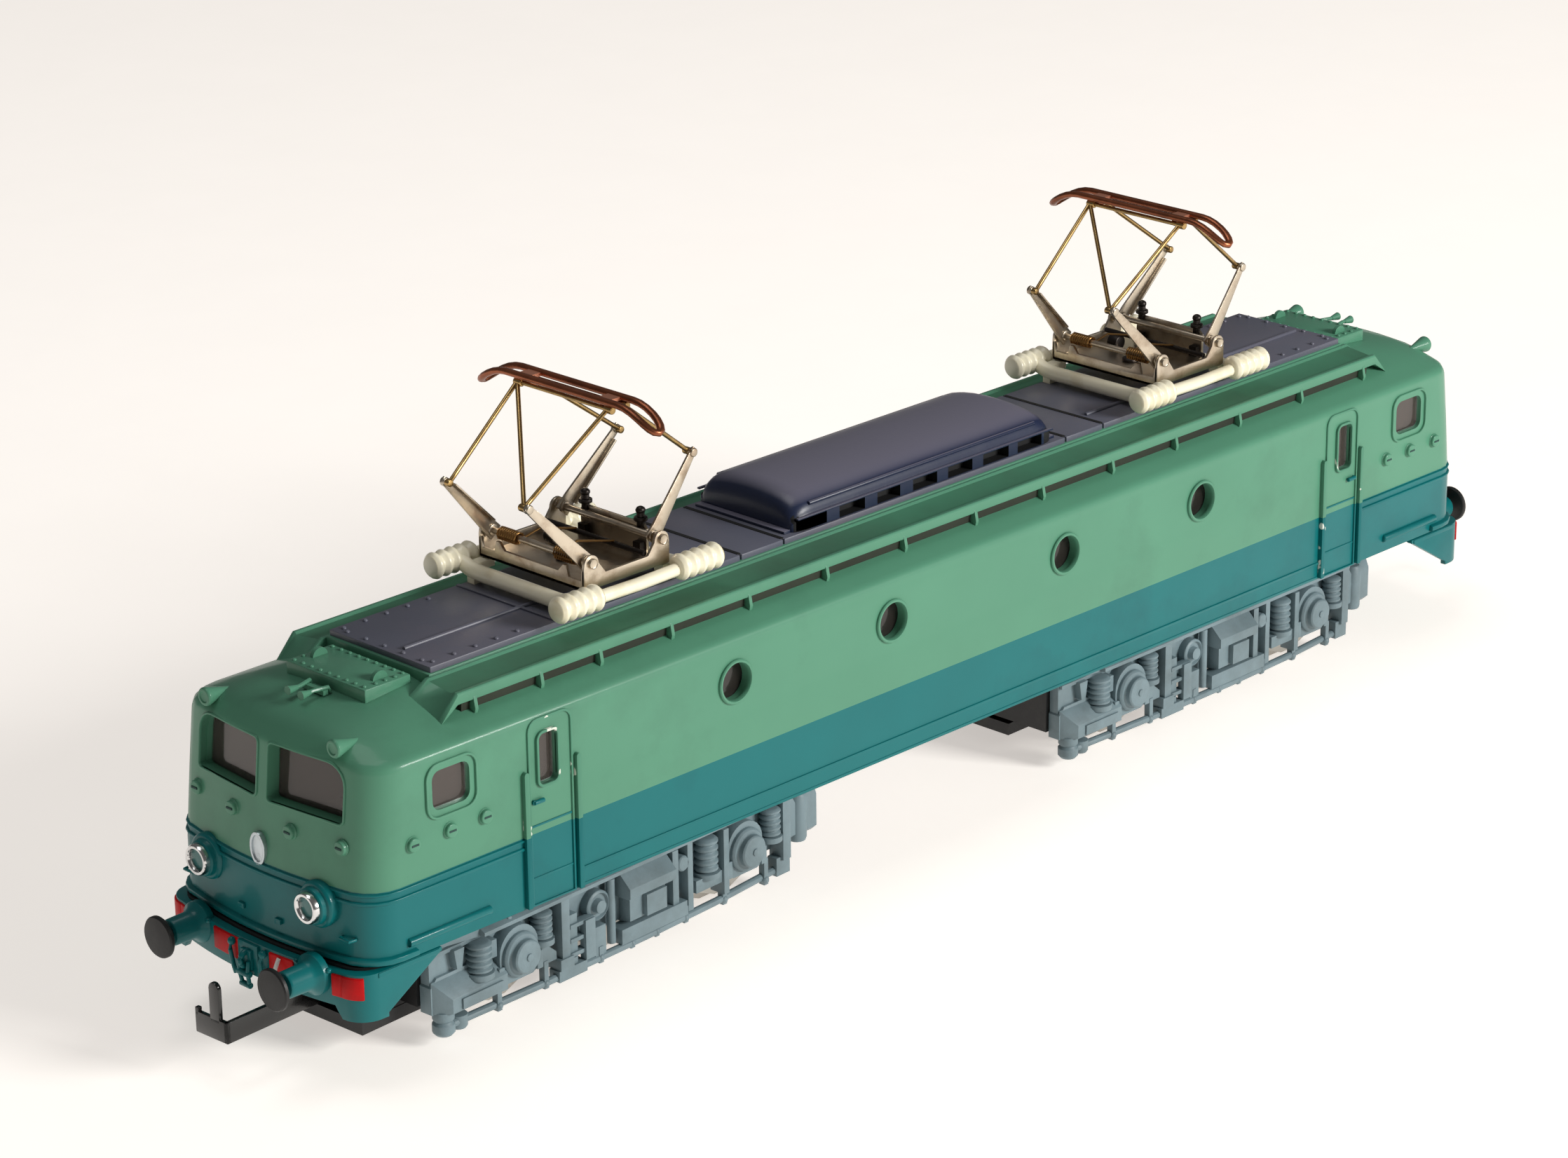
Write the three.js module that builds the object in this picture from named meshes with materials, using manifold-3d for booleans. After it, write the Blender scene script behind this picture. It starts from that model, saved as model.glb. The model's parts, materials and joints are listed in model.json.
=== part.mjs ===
// Model electric locomotive, 1:87, six axles on two swivelling bogies, two pantographs.
// Millimetres. +X runs along the locomotive, +Z is up, the origin is on the table under its middle,
// and z = 0 is the lowest point of the wheel flanges. Cab 1 is the -X end.

import * as THREE from 'three';
import * as BufferGeometryUtils from 'three/addons/utils/BufferGeometryUtils.js';
import Module from 'manifold-3d';

const wasm = await Module();
wasm.setup();

// ---------------------------------------------------------------- driving dimensions

const BODY = { halfLength: 101.0, halfWidth: 17.15, bottom: 14.4, wall: 1.2 };
const CAB = { faceRadius: 64, cornerRadius: 4.5, rakeStart: 21, rakePerMm: 0.105 };
const EAVE = { z: 36.9, shoulderY: 15.6, shoulderZ: 38.5, crownY: 8.6, crownZ: 40.9 };
const ROOF_TOP = 41.5;
const COAMING = { halfLength: 82.4, halfWidth: 8.85, top: 42.4 };
const DECK = { halfLength: 82.2, halfWidth: 8.65, bottom: 42.5, top: 43.2 };
const DUCT = { halfLength: 83, innerY: 8.8, outerY: 14.2, innerZ: 42.2, outerZ: 41.6, lip: 1.0 };
const HATCH = { near: 83.2, far: 90.1, halfWidth: 6.8, top: 42.3 };
const MARKER = { y: 11.1, z: 39.1, radius: 0.95, tip: 98.6, root: 94 };
const VENT = { halfLength: 23.6, halfWidth: 8.5, bottom: 43.3, shoulderZ: 44.9, top: 47.8 };

const WINDSCREEN = { innerY: 1.0, outerY: 12.4, bottom: 30.6, top: 37.2, round: 2.4 };
const CAB_WINDOW = { x: 87.0, halfWidth: 2.9, bottom: 30.6, top: 35.3 };
const DOOR_WINDOW = { x: 72.7, halfWidth: 1.5, bottom: 28.9, top: 35.1 };
const PORTHOLE = { xs: [15.9, 42.7], z: 32.2, radius: 2.35 };
const GLAZING = { thickness: 0.6, gap: 0.1, halfLength: 92, bottom: 27.8, top: 36.4 };
const SCREEN_PANE = { setback: 2.6, halfWidth: 12.9, bottom: 29.8, top: 37.6 };

const HEADLIGHT = { y: 9.54, z: 20.8, tip: 102.45, ring: 1.7, housing: 2.15, housingTip: 101.6, bore: 1.5 };
const APRON = { halfLength: 102.8, halfWidth: 17.0, cornerRadius: 3, wall: 1.4, top: 14.1, bottom: 9.9 };
const APRON_WING = { rear: 89.2, foot: 99.6, footZ: 8.4, flangeBottom: 13.7 };
const BUFFER = {
  y: 10, z: 13, stockTip: 106.3, stockRadius: 1.65, flangeRadius: 2.3, tip: 108.2, headRadius: 2.5,
};

const CHASSIS = { inset: 1.5, bottom: 16.3, top: 18.3 };
const BALLAST = { from: -44, to: 34, halfWidth: 12.5, top: 30 };
const BALLAST_SCREW_X = [-30, 20];
const BALLAST_SCREW = { headRadius: 2, headHeight: 1.1, radius: 0.95, length: 7.5 };

const BOGIE_X = [-57.2, 52.0];              // pivots of the trailing bogie and of the motor bogie
const BOGIE_ANGLE = [2.6, 0.5];             // degrees that each bogie stands turned at rest
const AXLE_X = [-19.2, 0, 19.2];
const WHEEL = { flange: 7.9, tread: 6.8, backY: 7.15, flangeY: 7.8, faceY: 9.95, axle: 1.2, axleEnd: 10.6 };
const BLOCK = { bottom: 4.5, top: 14.8, sideY: 6.4, gearSideY: 4.3, endX: 32.4, crossX: 28.4, crossY: 10.7 };
const KEEPER = { bottom: 2.8, top: 4.4 };
const POCKET = { endX: 38.4, halfWidth: 8, innerHalfWidth: 6.2, backX: 29.8, roofZ: 8.7, topZ: 12.4 };
const COUPLER = {
  pivotX: 32.5, eye: 2.0, sheet: 0.6, bottom: 5.3, top: 7.9, tipX: [53.1, 58.36],
  barY: -2.1, plateY: 3.2, prongY: [-0.9, 0.7], prongTop: 12.3, stopTop: 8.4,
};
const FRAME = {
  left: -31.8, right: 27, plateY: 13, plateBottom: 4.6, plateTop: 12.3, flangeY: 14.4, flangeTop: 13.6,
  axleBox: { x: 19.2, depth: 15.5, radius: 2.2 },
  spring: { xs: [-24.9, -16.3, 11.9, 14.9], y: 13.1, radius: 1.1 },
  rail: { depth: 14.2, bottom: 2.0, top: 3.4 },
};
const TURNTABLE = { radius: 13.6, bore: 14.0, retainer: 15.2 };
const PIVOT_POST = { radius: 3.0, bore: 3.3, headRadius: 4.6 };

const GEAR = { module: 0.4, wheelTeeth: 28, sideTeeth: 20, topTeeth: 22, pinionTeeth: 9, from: 4.6, to: 6.3 };
const PIN = { radius: 0.8, bore: 0.95 };
const ROTOR = { radius: 5.4, from: -5.0, to: 3.2, shaft: 0.7, shaftFrom: -8.2, magnetBore: 5.9 };
const MAGNET = { halfLength: 9.0, bottom: 18.6, top: 30.9, from: -5.6, to: 4.2 };

const PANTO_X = [-51.9, 50.0];
const PANTO = {
  pivot: [5.6, 48.9], knee: [13.3, 57.0], crown: [1.15, 66.1],
  frontY: [7.9, 7.1], rearY: [7.5, 6.5], crownY: 7.6, wire: 0.3, shaft: 0.45,
};
const HEAD = { z: 66.95, stripX: 1.25, stripY: 9.4, hornY: 14.6, hornDrop: 2.4, plateY: 6.7 };
const INSULATOR = { barrelY: 10.7, z: 45.5, radius: 1.45, from: 6.0, to: 13.0, beamX: 8.8, footZ: 42.2 };
const TRAY = { x: 6.8, y: 9.0, floor: 45.7, sheet: 0.4, frontTop: 48.2, rearTop: 49.6, earTop: 49.8 };

const COLOURS = {
  green: 0x62947f, roof: 0x4a4c5c, glass: 0xb8c4c6, teal: 0x37827f, black: 0x141414, silver: 0xc8c8c8,
  zinc: 0x8a8d90, bogie: 0x6e8087, steel: 0xb4b2ae, cream: 0xf2ecd6, nickel: 0xa89c8c, copper: 0x6e3214,
  brass: 0xb08d4a, winding: 0x8c4a1e,
};

// ---------------------------------------------------------------- small solid-modelling kit

// A three.js geometry becomes a closed solid: only positions are kept and shared corners are merged.
function solid(geometry) {
  const bare = geometry.clone();
  bare.deleteAttribute('normal');
  bare.deleteAttribute('uv');
  const merged = BufferGeometryUtils.mergeVertices(bare, 1e-5);
  const positions = merged.getAttribute('position').array;
  const corners = merged.getIndex().array;
  const triangles = [];
  for (let i = 0; i < corners.length; i += 3) {
    const [a, b, c] = [corners[i], corners[i + 1], corners[i + 2]];
    if (a !== b && b !== c && c !== a) triangles.push(a, b, c);
  }
  return new wasm.Manifold(new wasm.Mesh({
    numProp: 3,
    vertProperties: new Float32Array(positions),
    triVerts: new Uint32Array(triangles),
  }));
}

function join(first, ...others) {
  return others.reduce((whole, next) => whole.add(next), first);
}

function cut(first, ...others) {
  return others.reduce((whole, next) => whole.subtract(next), first);
}

function box(x0, x1, y0, y1, z0, z1) {
  const geometry = new THREE.BoxGeometry(Math.abs(x1 - x0), Math.abs(y1 - y0), Math.abs(z1 - z0));
  geometry.translate((x0 + x1) / 2, (y0 + y1) / 2, (z0 + z1) / 2);
  return solid(geometry);
}

// A flat outline pushed along one axis. The outline's two numbers are the other two coordinates:
// (y, z) for 'x', (x, z) for 'y' and (x, y) for 'z'.
function prism(axis, outline, from, to, steps = 1) {
  const turned = axis === 'y' ? outline.map(([x, z]) => [z, x]) : outline;
  const shape = new THREE.Shape(turned.map(([u, v]) => new THREE.Vector2(u, v)));
  const geometry = new THREE.ExtrudeGeometry(shape, { depth: to - from, bevelEnabled: false, steps });
  geometry.translate(0, 0, from);
  const [x, y, z] = [new THREE.Vector3(1, 0, 0), new THREE.Vector3(0, 1, 0), new THREE.Vector3(0, 0, 1)];
  const bases = { x: [y, z, x], y: [z, x, y], z: [x, y, z] };
  geometry.applyMatrix4(new THREE.Matrix4().makeBasis(...bases[axis]));
  return geometry;
}

function prismSolid(axis, outline, from, to) {
  return solid(prism(axis, outline, from, to));
}

// A turned piece: the profile is a list of (radius, distance along the axis), rising along the axis.
// A flat of the polygon, not a corner, faces down.
function turned(axis, profile, centre, sides) {
  const points = profile.map(([radius, along]) => {
    const grown = radius / Math.cos(Math.PI / sides);
    return new THREE.Vector2(grown, along);
  });
  const geometry = new THREE.LatheGeometry(points, sides, Math.PI / sides);
  if (axis === 'x') geometry.rotateZ(-Math.PI / 2);
  if (axis === 'z') geometry.rotateX(Math.PI / 2);
  geometry.translate(...centre);
  return solid(geometry);
}

function rod(axis, radius, from, to, centre, sides = 12) {
  return turned(axis, [[0, from], [radius, from], [radius, to], [0, to]], centre, sides);
}

// A straight strip or wire between two points. Its first cross size is measured along `across`.
function strut(start, end, size, thickness, across = new THREE.Vector3(0, 1, 0), sides = 4) {
  const a = new THREE.Vector3(...start);
  const b = new THREE.Vector3(...end);
  const along = b.clone().sub(a);
  const length = along.length();
  along.normalize();
  const side = across.clone().addScaledVector(along, -across.dot(along)).normalize();
  const third = new THREE.Vector3().crossVectors(along, side);
  const geometry = sides === 4
    ? new THREE.BoxGeometry(length, thickness, size)
    : new THREE.CylinderGeometry(size, size, length, sides).rotateZ(Math.PI / 2);
  geometry.applyMatrix4(new THREE.Matrix4().makeBasis(along, side, third));
  const middle = a.add(b).multiplyScalar(0.5);
  geometry.translate(middle.x, middle.y, middle.z);
  return solid(geometry);
}

function wire(start, end, radius) {
  return strut(start, end, radius, radius, new THREE.Vector3(0.1, 1, 0.05), 6);
}

function mirrored(points) {
  return points.concat(points.slice().reverse().map(([u, v]) => [-u, v]));
}

function arc(cx, cy, radius, fromDegrees, toDegrees, pieces) {
  const points = [];
  for (let i = 0; i <= pieces; i += 1) {
    const angle = THREE.MathUtils.degToRad(fromDegrees + ((toDegrees - fromDegrees) * i) / pieces);
    points.push([cx + radius * Math.cos(angle), cy + radius * Math.sin(angle)]);
  }
  return points;
}

const whole = new THREE.Group();

function place(name, shape, colour, roughness, metalness, parent = whole) {
  const mesh = shape.getMesh();
  const geometry = new THREE.BufferGeometry();
  geometry.setAttribute('position', new THREE.BufferAttribute(mesh.vertProperties, 3));
  geometry.setIndex(new THREE.BufferAttribute(mesh.triVerts, 1));
  geometry.computeVertexNormals();
  const material = new THREE.MeshStandardMaterial({ color: COLOURS[colour], roughness, metalness });
  const node = new THREE.Mesh(geometry, material);
  node.name = name;
  parent.add(node);
}

// ---------------------------------------------------------------- body shell

// The plan of the body, from above: gently bowed cab faces with rounded corners.
function planOutline(halfLength, halfWidth, faceRadius, cornerRadius, inset) {
  const faceCentre = halfLength - faceRadius;
  const cornerY = halfWidth - cornerRadius;
  const reach = faceRadius - cornerRadius;
  const cornerX = faceCentre + Math.sqrt(reach * reach - cornerY * cornerY);
  const joinAngle = THREE.MathUtils.radToDeg(Math.asin(cornerY / reach));
  const face = arc(faceCentre, 0, faceRadius - inset, 0, joinAngle, 3);
  const corner = arc(cornerX, cornerY, cornerRadius - inset, joinAngle, 90, 4).slice(1);
  const quarter = face.concat(corner);
  const front = quarter.slice(1).reverse().map(([x, y]) => [x, -y]).concat(quarter);
  return front.concat(front.map(([x, y]) => [-x, -y]));
}

// The cab faces lean back above the rake height, so each level's ends move inwards.
function leanCabs(geometry) {
  const position = geometry.getAttribute('position');
  for (let i = 0; i < position.count; i += 1) {
    const lean = Math.max(0, position.getZ(i) - CAB.rakeStart) * CAB.rakePerMm;
    position.setX(i, position.getX(i) - Math.sign(position.getX(i)) * lean);
  }
  return geometry;
}

function bodyEnvelope(inset, bottom) {
  const plan = planOutline(BODY.halfLength, BODY.halfWidth, CAB.faceRadius, CAB.cornerRadius, inset);
  const lower = solid(prism('z', plan, bottom, CAB.rakeStart));
  const upper = solid(leanCabs(prism('z', plan, CAB.rakeStart, ROOF_TOP - inset)));
  const section = mirrored([
    [BODY.halfWidth - inset, bottom],
    [BODY.halfWidth - inset, EAVE.z],
    [EAVE.shoulderY + 1.05 - inset, EAVE.z + 0.9 - inset * 0.5],
    [EAVE.shoulderY - inset * 0.5, EAVE.shoulderZ - inset],
    [EAVE.crownY, EAVE.crownZ - inset],
    [EAVE.crownY - 2, ROOF_TOP - inset],
  ]);
  const roofLine = mirrored([
    [BODY.halfLength + 1, bottom],
    [BODY.halfLength + 1, 36.6 - inset],
    [99.1 - inset, 38.1 - inset],
    [97.9 - inset, 39.2 - inset],
    [96.3 - inset, 39.9 - inset],
    [93.8 - inset, 40.4 - inset],
    [84.5 - inset, ROOF_TOP - inset],
  ]);
  const length = BODY.halfLength + 1;
  return join(lower, upper)
    .intersect(prismSolid('x', section, -length, length))
    .intersect(prismSolid('y', roofLine, -BODY.halfWidth - 1, BODY.halfWidth + 1));
}

function windowHoles() {
  const holes = [];
  const { innerY, outerY, bottom, top, round } = WINDSCREEN;
  const screen = [[innerY, bottom], [outerY, bottom]]
    .concat(arc(outerY - round, top - round, round, 0, 90, 3), [[innerY, top]]);
  const screens = [screen, screen.map(([y, z]) => [-y, z]).reverse()];
  for (const outline of screens) {
    holes.push(prismSolid('x', outline, 94, 104), prismSolid('x', outline, -104, -94));
  }
  const sides = BODY.halfWidth + 1;
  for (const end of [-1, 1]) {
    for (const pane of [CAB_WINDOW, DOOR_WINDOW]) {
      const x = end * pane.x;
      holes.push(box(x - pane.halfWidth, x + pane.halfWidth, -sides, sides, pane.bottom, pane.top));
    }
    for (const x of PORTHOLE.xs) {
      holes.push(rod('y', PORTHOLE.radius, -sides, sides, [end * x, 0, PORTHOLE.z], 16));
    }
  }
  return holes;
}

function roofDuct(side) {
  const outline = [
    [DUCT.innerY, ROOF_TOP - 1.2],
    [DUCT.outerY - 1.1, DUCT.outerZ - DUCT.lip - 1.6],
    [DUCT.outerY - 1.0, DUCT.outerZ - DUCT.lip - 0.2],
    [DUCT.outerY, DUCT.outerZ - DUCT.lip],
    [DUCT.outerY, DUCT.outerZ],
    [DUCT.innerY, DUCT.innerZ],
  ];
  const facing = side > 0 ? outline : outline.map(([y, z]) => [-y, z]).reverse();
  return prismSolid('x', facing, -DUCT.halfLength, DUCT.halfLength);
}

function bodyShell() {
  let shell = cut(bodyEnvelope(0, BODY.bottom), bodyEnvelope(BODY.wall, BODY.bottom - 1));
  const { halfLength, halfWidth, top } = COAMING;
  shell = join(shell, box(-halfLength, halfLength, -halfWidth, halfWidth, ROOF_TOP - 0.6, top));
  shell = join(shell, roofDuct(-1), roofDuct(1));
  for (const end of [-1, 1]) {
    const { near, far } = HATCH;
    shell = join(shell, box(end * near, end * far, -HATCH.halfWidth, HATCH.halfWidth, 39.6, HATCH.top));
    for (const side of [-1, 1]) {
      const from = Math.min(end * MARKER.root, end * MARKER.tip);
      const to = Math.max(end * MARKER.root, end * MARKER.tip);
      shell = join(shell, rod('x', MARKER.radius, from, to, [0, side * MARKER.y, MARKER.z], 8));
      const root = end * (BODY.halfLength - 1.8);
      const tip = end * HEADLIGHT.housingTip;
      const centre = [0, side * HEADLIGHT.y, HEADLIGHT.z];
      const housing = rod('x', HEADLIGHT.housing, Math.min(root, tip), Math.max(root, tip), centre, 12);
      const bore = rod('x', HEADLIGHT.bore, Math.min(root, tip) - 1, Math.max(root, tip) + 1, centre, 12);
      shell = cut(join(shell, housing), bore);
    }
  }
  return cut(shell, ...windowHoles());
}

function ventHousing() {
  const { halfLength, halfWidth, bottom, shoulderZ, top } = VENT;
  const section = mirrored([
    [halfWidth, bottom], [halfWidth, shoulderZ], [halfWidth - 1.1, top - 1.2], [4, top - 0.3], [1.5, top],
  ]);
  const profile = mirrored([
    [halfLength, bottom], [halfLength, shoulderZ - 0.4], [halfLength - 1, top - 1.6], [halfLength - 3, top],
  ]);
  return prismSolid('x', section, -halfLength - 1, halfLength + 1)
    .intersect(prismSolid('y', profile, -halfWidth - 1, halfWidth + 1));
}

function screenPane(end) {
  const outer = planOutline(BODY.halfLength, BODY.halfWidth, CAB.faceRadius, CAB.cornerRadius,
    SCREEN_PANE.setback);
  const inner = planOutline(BODY.halfLength, BODY.halfWidth, CAB.faceRadius, CAB.cornerRadius,
    SCREEN_PANE.setback + GLAZING.thickness);
  const { halfWidth, bottom, top } = SCREEN_PANE;
  const slab = cut(solid(leanCabs(prism('z', outer, bottom, top))),
    solid(leanCabs(prism('z', inner, bottom, top))));
  return slab.intersect(box(end * 90, end * 102, -halfWidth, halfWidth, bottom, top));
}

function sideGlazing(side) {
  const outer = BODY.halfWidth - BODY.wall - GLAZING.gap;
  const { halfLength, bottom, top, thickness } = GLAZING;
  return box(-halfLength, halfLength, side * outer, side * (outer - thickness), bottom, top);
}

function headlight(end, side) {
  const profile = [
    [0, 100.4], [HEADLIGHT.bore - 0.1, 100.4], [HEADLIGHT.bore - 0.1, HEADLIGHT.housingTip + 0.1],
    [HEADLIGHT.ring, HEADLIGHT.housingTip + 0.1], [HEADLIGHT.ring, HEADLIGHT.tip],
    [HEADLIGHT.ring - 0.4, HEADLIGHT.tip], [HEADLIGHT.ring - 0.5, HEADLIGHT.tip - 0.6],
    [0, HEADLIGHT.tip - 0.9],
  ];
  const facing = end > 0 ? profile : profile.map(([r, x]) => [r, -x]).reverse();
  return turned('x', facing, [0, side * HEADLIGHT.y, HEADLIGHT.z], 12);
}

place('body_shell', bodyShell(), 'green', 0.35, 0);
place('roof_deck', box(-DECK.halfLength, DECK.halfLength, -DECK.halfWidth, DECK.halfWidth,
  DECK.bottom, DECK.top), 'roof', 0.4, 0);
place('roof_vent_housing', ventHousing(), 'roof', 0.4, 0);
place('side_glazing_left', sideGlazing(1), 'glass', 0.1, 0);
place('side_glazing_right', sideGlazing(-1), 'glass', 0.1, 0);

// ---------------------------------------------------------------- cab ends: glazing, lamps, apron, buffers

function apron(end) {
  const { halfLength, halfWidth, cornerRadius, wall, top, bottom } = APRON;
  const outline = (inset) => planOutline(halfLength, halfWidth, CAB.faceRadius, cornerRadius, inset);
  const { rear, foot, footZ, flangeBottom } = APRON_WING;
  const hollow = prismSolid('z', outline(wall), footZ - 1, flangeBottom);
  const skin = cut(prismSolid('z', outline(0), footZ, top), hollow);
  const sideView = [
    [end * 104, top + 1], [end * 104, footZ - 1], [end * (foot - 1.6), footZ - 1],
    [end * (foot - 2.4), footZ + 0.5], [end * rear, top - 0.4], [end * rear, top + 1],
  ];
  let piece = skin.intersect(prismSolid('y', sideView, -20, 20));
  const coupler = box(end * 98, end * 105, -13.2, 13.2, footZ - 1, bottom);
  piece = cut(piece, coupler);
  piece = join(piece, box(end * 92, end * 98.6, -8, 8, top - 0.5, CHASSIS.bottom - 0.1));
  piece = join(piece, box(end * 101.6, end * 104.2, -2, 2, bottom, top - 0.2));
  for (const side of [-1, 1]) {
    const centre = [0, side * BUFFER.y, BUFFER.z];
    const profile = [
      [0, 101.8], [BUFFER.flangeRadius, 101.8], [BUFFER.flangeRadius, 103.4],
      [BUFFER.stockRadius, 103.6], [BUFFER.stockRadius, BUFFER.stockTip],
      [0.95, BUFFER.stockTip], [0.95, BUFFER.stockTip - 2], [0, BUFFER.stockTip - 2],
    ];
    const facing = end > 0 ? profile : profile.map(([r, x]) => [r, -x]).reverse();
    piece = join(piece, turned('x', facing, centre, 12));
  }
  return piece;
}

function bufferHead(end, side) {
  const { stockTip, tip, headRadius } = BUFFER;
  const profile = [
    [0, stockTip - 1.8], [0.85, stockTip - 1.8], [0.85, stockTip + 0.1], [1.3, stockTip + 0.2],
    [headRadius, tip - 0.8], [headRadius, tip - 0.2], [headRadius - 0.4, tip], [0, tip],
  ];
  const facing = end > 0 ? profile : profile.map(([r, x]) => [r, -x]).reverse();
  return turned('x', facing, [0, side * BUFFER.y, BUFFER.z], 14);
}

for (const [index, end] of [-1, 1].entries()) {
  const cab = index + 1;
  place(`windscreen_${cab}`, screenPane(end), 'glass', 0.1, 0);
  place(`apron_${cab}`, apron(end), 'teal', 0.4, 0);
  for (const [side, word] of [[1, 'left'], [-1, 'right']]) {
    place(`headlight_${cab}_${word}`, headlight(end, side), 'silver', 0.25, 0.8);
    place(`buffer_head_${cab}_${word}`, bufferHead(end, side), 'black', 0.5, 0);
  }
}

// ---------------------------------------------------------------- chassis

function chassisPlate() {
  const { inset, bottom, top } = CHASSIS;
  const outline = planOutline(BODY.halfLength, BODY.halfWidth, CAB.faceRadius, CAB.cornerRadius, inset);
  let plate = prismSolid('z', outline, bottom, top);
  plate = cut(plate, rod('z', PIVOT_POST.bore, bottom - 1, top + 1, [BOGIE_X[0], 0, 0], 16));
  plate = cut(plate, rod('z', TURNTABLE.bore, bottom - 1, top + 1, [BOGIE_X[1], 0, 0], 24));
  for (const x of BALLAST_SCREW_X) {
    plate = cut(plate, rod('z', 1.2, bottom - 1, top + 1, [x, 0, 0], 10));
  }
  return plate;
}

function ballastWeight() {
  const bottom = CHASSIS.top + 0.1;
  const outline = mirrored([[BALLAST.halfWidth, bottom], [BALLAST.halfWidth, 27], [9.5, BALLAST.top]]);
  let weight = prismSolid('x', outline, BALLAST.from, BALLAST.to);
  for (const x of BALLAST_SCREW_X) {
    weight = cut(weight, rod('z', 1.05, bottom - 1, bottom + 6, [x, 0, 0], 10));
  }
  return weight;
}

function ballastScrew(x) {
  const head = CHASSIS.bottom - 0.1;
  const { headRadius, headHeight, radius, length } = BALLAST_SCREW;
  const profile = [
    [0, head - headHeight], [headRadius, head - headHeight], [headRadius, head],
    [radius, head], [radius, head + length], [0, head + length],
  ];
  return turned('z', profile, [x, 0, 0], 10);
}

place('chassis_plate', chassisPlate(), 'zinc', 0.5, 0.6);
place('ballast_weight', ballastWeight(), 'zinc', 0.6, 0.6);
BALLAST_SCREW_X.forEach((x, index) => {
  place(`ballast_screw_${index + 1}`, ballastScrew(x), 'steel', 0.35, 0.9);
});

// ---------------------------------------------------------------- bogies
// A bogie is built with its outer end towards -X and its pivot on the Z axis, then turned and moved.
// Bogie 2 is the same design turned by half a turn, and it carries the motor.

function gearOutline(teeth, toothAngle) {
  const pitchRadius = (GEAR.module * teeth) / 2;
  const root = pitchRadius - 1.3 * GEAR.module;
  const tip = pitchRadius + 0.6 * GEAR.module;
  const step = (2 * Math.PI) / teeth;
  const points = [];
  for (let i = 0; i < teeth; i += 1) {
    const middle = THREE.MathUtils.degToRad(toothAngle) + i * step;
    for (const [radius, part] of [[root, -0.5], [tip, -0.08], [tip, 0.08]]) {
      points.push([radius * Math.cos(middle + part * step), radius * Math.sin(middle + part * step)]);
    }
  }
  return points;
}

// toothAngle is the direction, in the x-z plane, in which one tooth points.
function gearAt(x, z, teeth, toothAngle) {
  const outline = gearOutline(teeth, toothAngle).map(([u, v]) => [x + u, z + v]);
  return prismSolid('y', outline, GEAR.from, GEAR.to);
}

function halfTooth(teeth) {
  return 180 / teeth;
}

function pitchRadius(teeth) {
  return (GEAR.module * teeth) / 2;
}

const TOP_GEAR_Z = WHEEL.flange + pitchRadius(GEAR.wheelTeeth) + pitchRadius(GEAR.topTeeth);
const ROTOR_Z = TOP_GEAR_Z + pitchRadius(GEAR.topTeeth) + pitchRadius(GEAR.pinionTeeth);
const SIDE_GEAR_X = pitchRadius(GEAR.wheelTeeth) + pitchRadius(GEAR.sideTeeth);

function wheelset(x, geared) {
  const { flange, tread, backY, flangeY, faceY, axle, axleEnd } = WHEEL;
  const half = [
    [0, axleEnd], [axle, axleEnd], [axle, faceY], [tread - 0.1, faceY],
    [tread, flangeY], [flange, flangeY - 0.15], [flange, backY], [axle, backY],
  ];
  const profile = half.map(([r, y]) => [r, -y]).concat(half.slice().reverse());
  const wheels = turned('y', profile, [x, 0, flange], 16);
  if (!geared) return wheels;
  return join(wheels, gearAt(x, flange, GEAR.wheelTeeth, 0));
}

function bogieBlock(geared) {
  const { bottom, top, sideY, gearSideY, endX, crossX, crossY } = BLOCK;
  const innerY = geared ? gearSideY : sideY;
  let block = box(-crossX - 0.5, crossX + 0.5, -sideY, innerY, bottom, top);
  block = join(block, box(crossX, endX, -crossY, crossY, bottom + 0.5, 13));
  block = join(block, box(-POCKET.endX, -crossX, -POCKET.halfWidth, POCKET.halfWidth, bottom, POCKET.topZ));
  block = join(block, box(-endX, -crossX, -crossY, crossY, bottom + 0.5, POCKET.topZ));
  block = cut(block, box(-POCKET.endX - 1, -POCKET.backX, -POCKET.innerHalfWidth, POCKET.innerHalfWidth,
    bottom - 1, POCKET.roofZ));
  for (const x of AXLE_X) {
    const slot = WHEEL.axle + 0.2;
    block = cut(block, box(x - slot, x + slot, -12, 12, bottom - 1, WHEEL.flange));
    block = cut(block, rod('y', slot, -12, 12, [x, 0, WHEEL.flange], 12));
  }
  return block;
}

function trailingBlock() {
  const post = rod('z', PIVOT_POST.radius, BLOCK.top - 1, CHASSIS.top + 0.2, [0, 0, 0], 16);
  const bore = rod('z', 1.1, BLOCK.top - 3, CHASSIS.top + 2, [0, 0, 0], 10);
  return cut(join(bogieBlock(false), post), bore);
}

function pivotScrew() {
  const seat = CHASSIS.top + 0.3;
  return turned('z', [[0, seat - 5], [0.95, seat - 5], [0.95, seat], [PIVOT_POST.headRadius, seat],
    [PIVOT_POST.headRadius, seat + 0.8], [2, seat + 1.4], [0, seat + 1.4]], [0, 0, 0], 12);
}

function motorBlock() {
  const { bottom, top } = CHASSIS;
  const disc = rod('z', TURNTABLE.radius, bottom, top, [0, 0, 0], 24);
  const motorBed = box(-9, 9, -BLOCK.sideY, BLOCK.gearSideY, BLOCK.top - 1, bottom + 1);
  let block = join(bogieBlock(true), motorBed, disc);
  const gearWell = box(-5.2, 5.2, BLOCK.gearSideY, GEAR.to + 0.3, bottom - 1, top + 1);
  block = cut(block, gearWell);
  const pins = [[0, TOP_GEAR_Z], [-SIDE_GEAR_X, WHEEL.flange], [SIDE_GEAR_X, WHEEL.flange]];
  for (const [x, z] of pins) {
    block = join(block, rod('y', PIN.radius, BLOCK.gearSideY - 1, GEAR.to, [x, 0, z], 10));
  }
  return join(block, box(-2.2, 2.2, 0, BLOCK.gearSideY, top - 0.5, TOP_GEAR_Z + 0.4));
}

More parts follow.
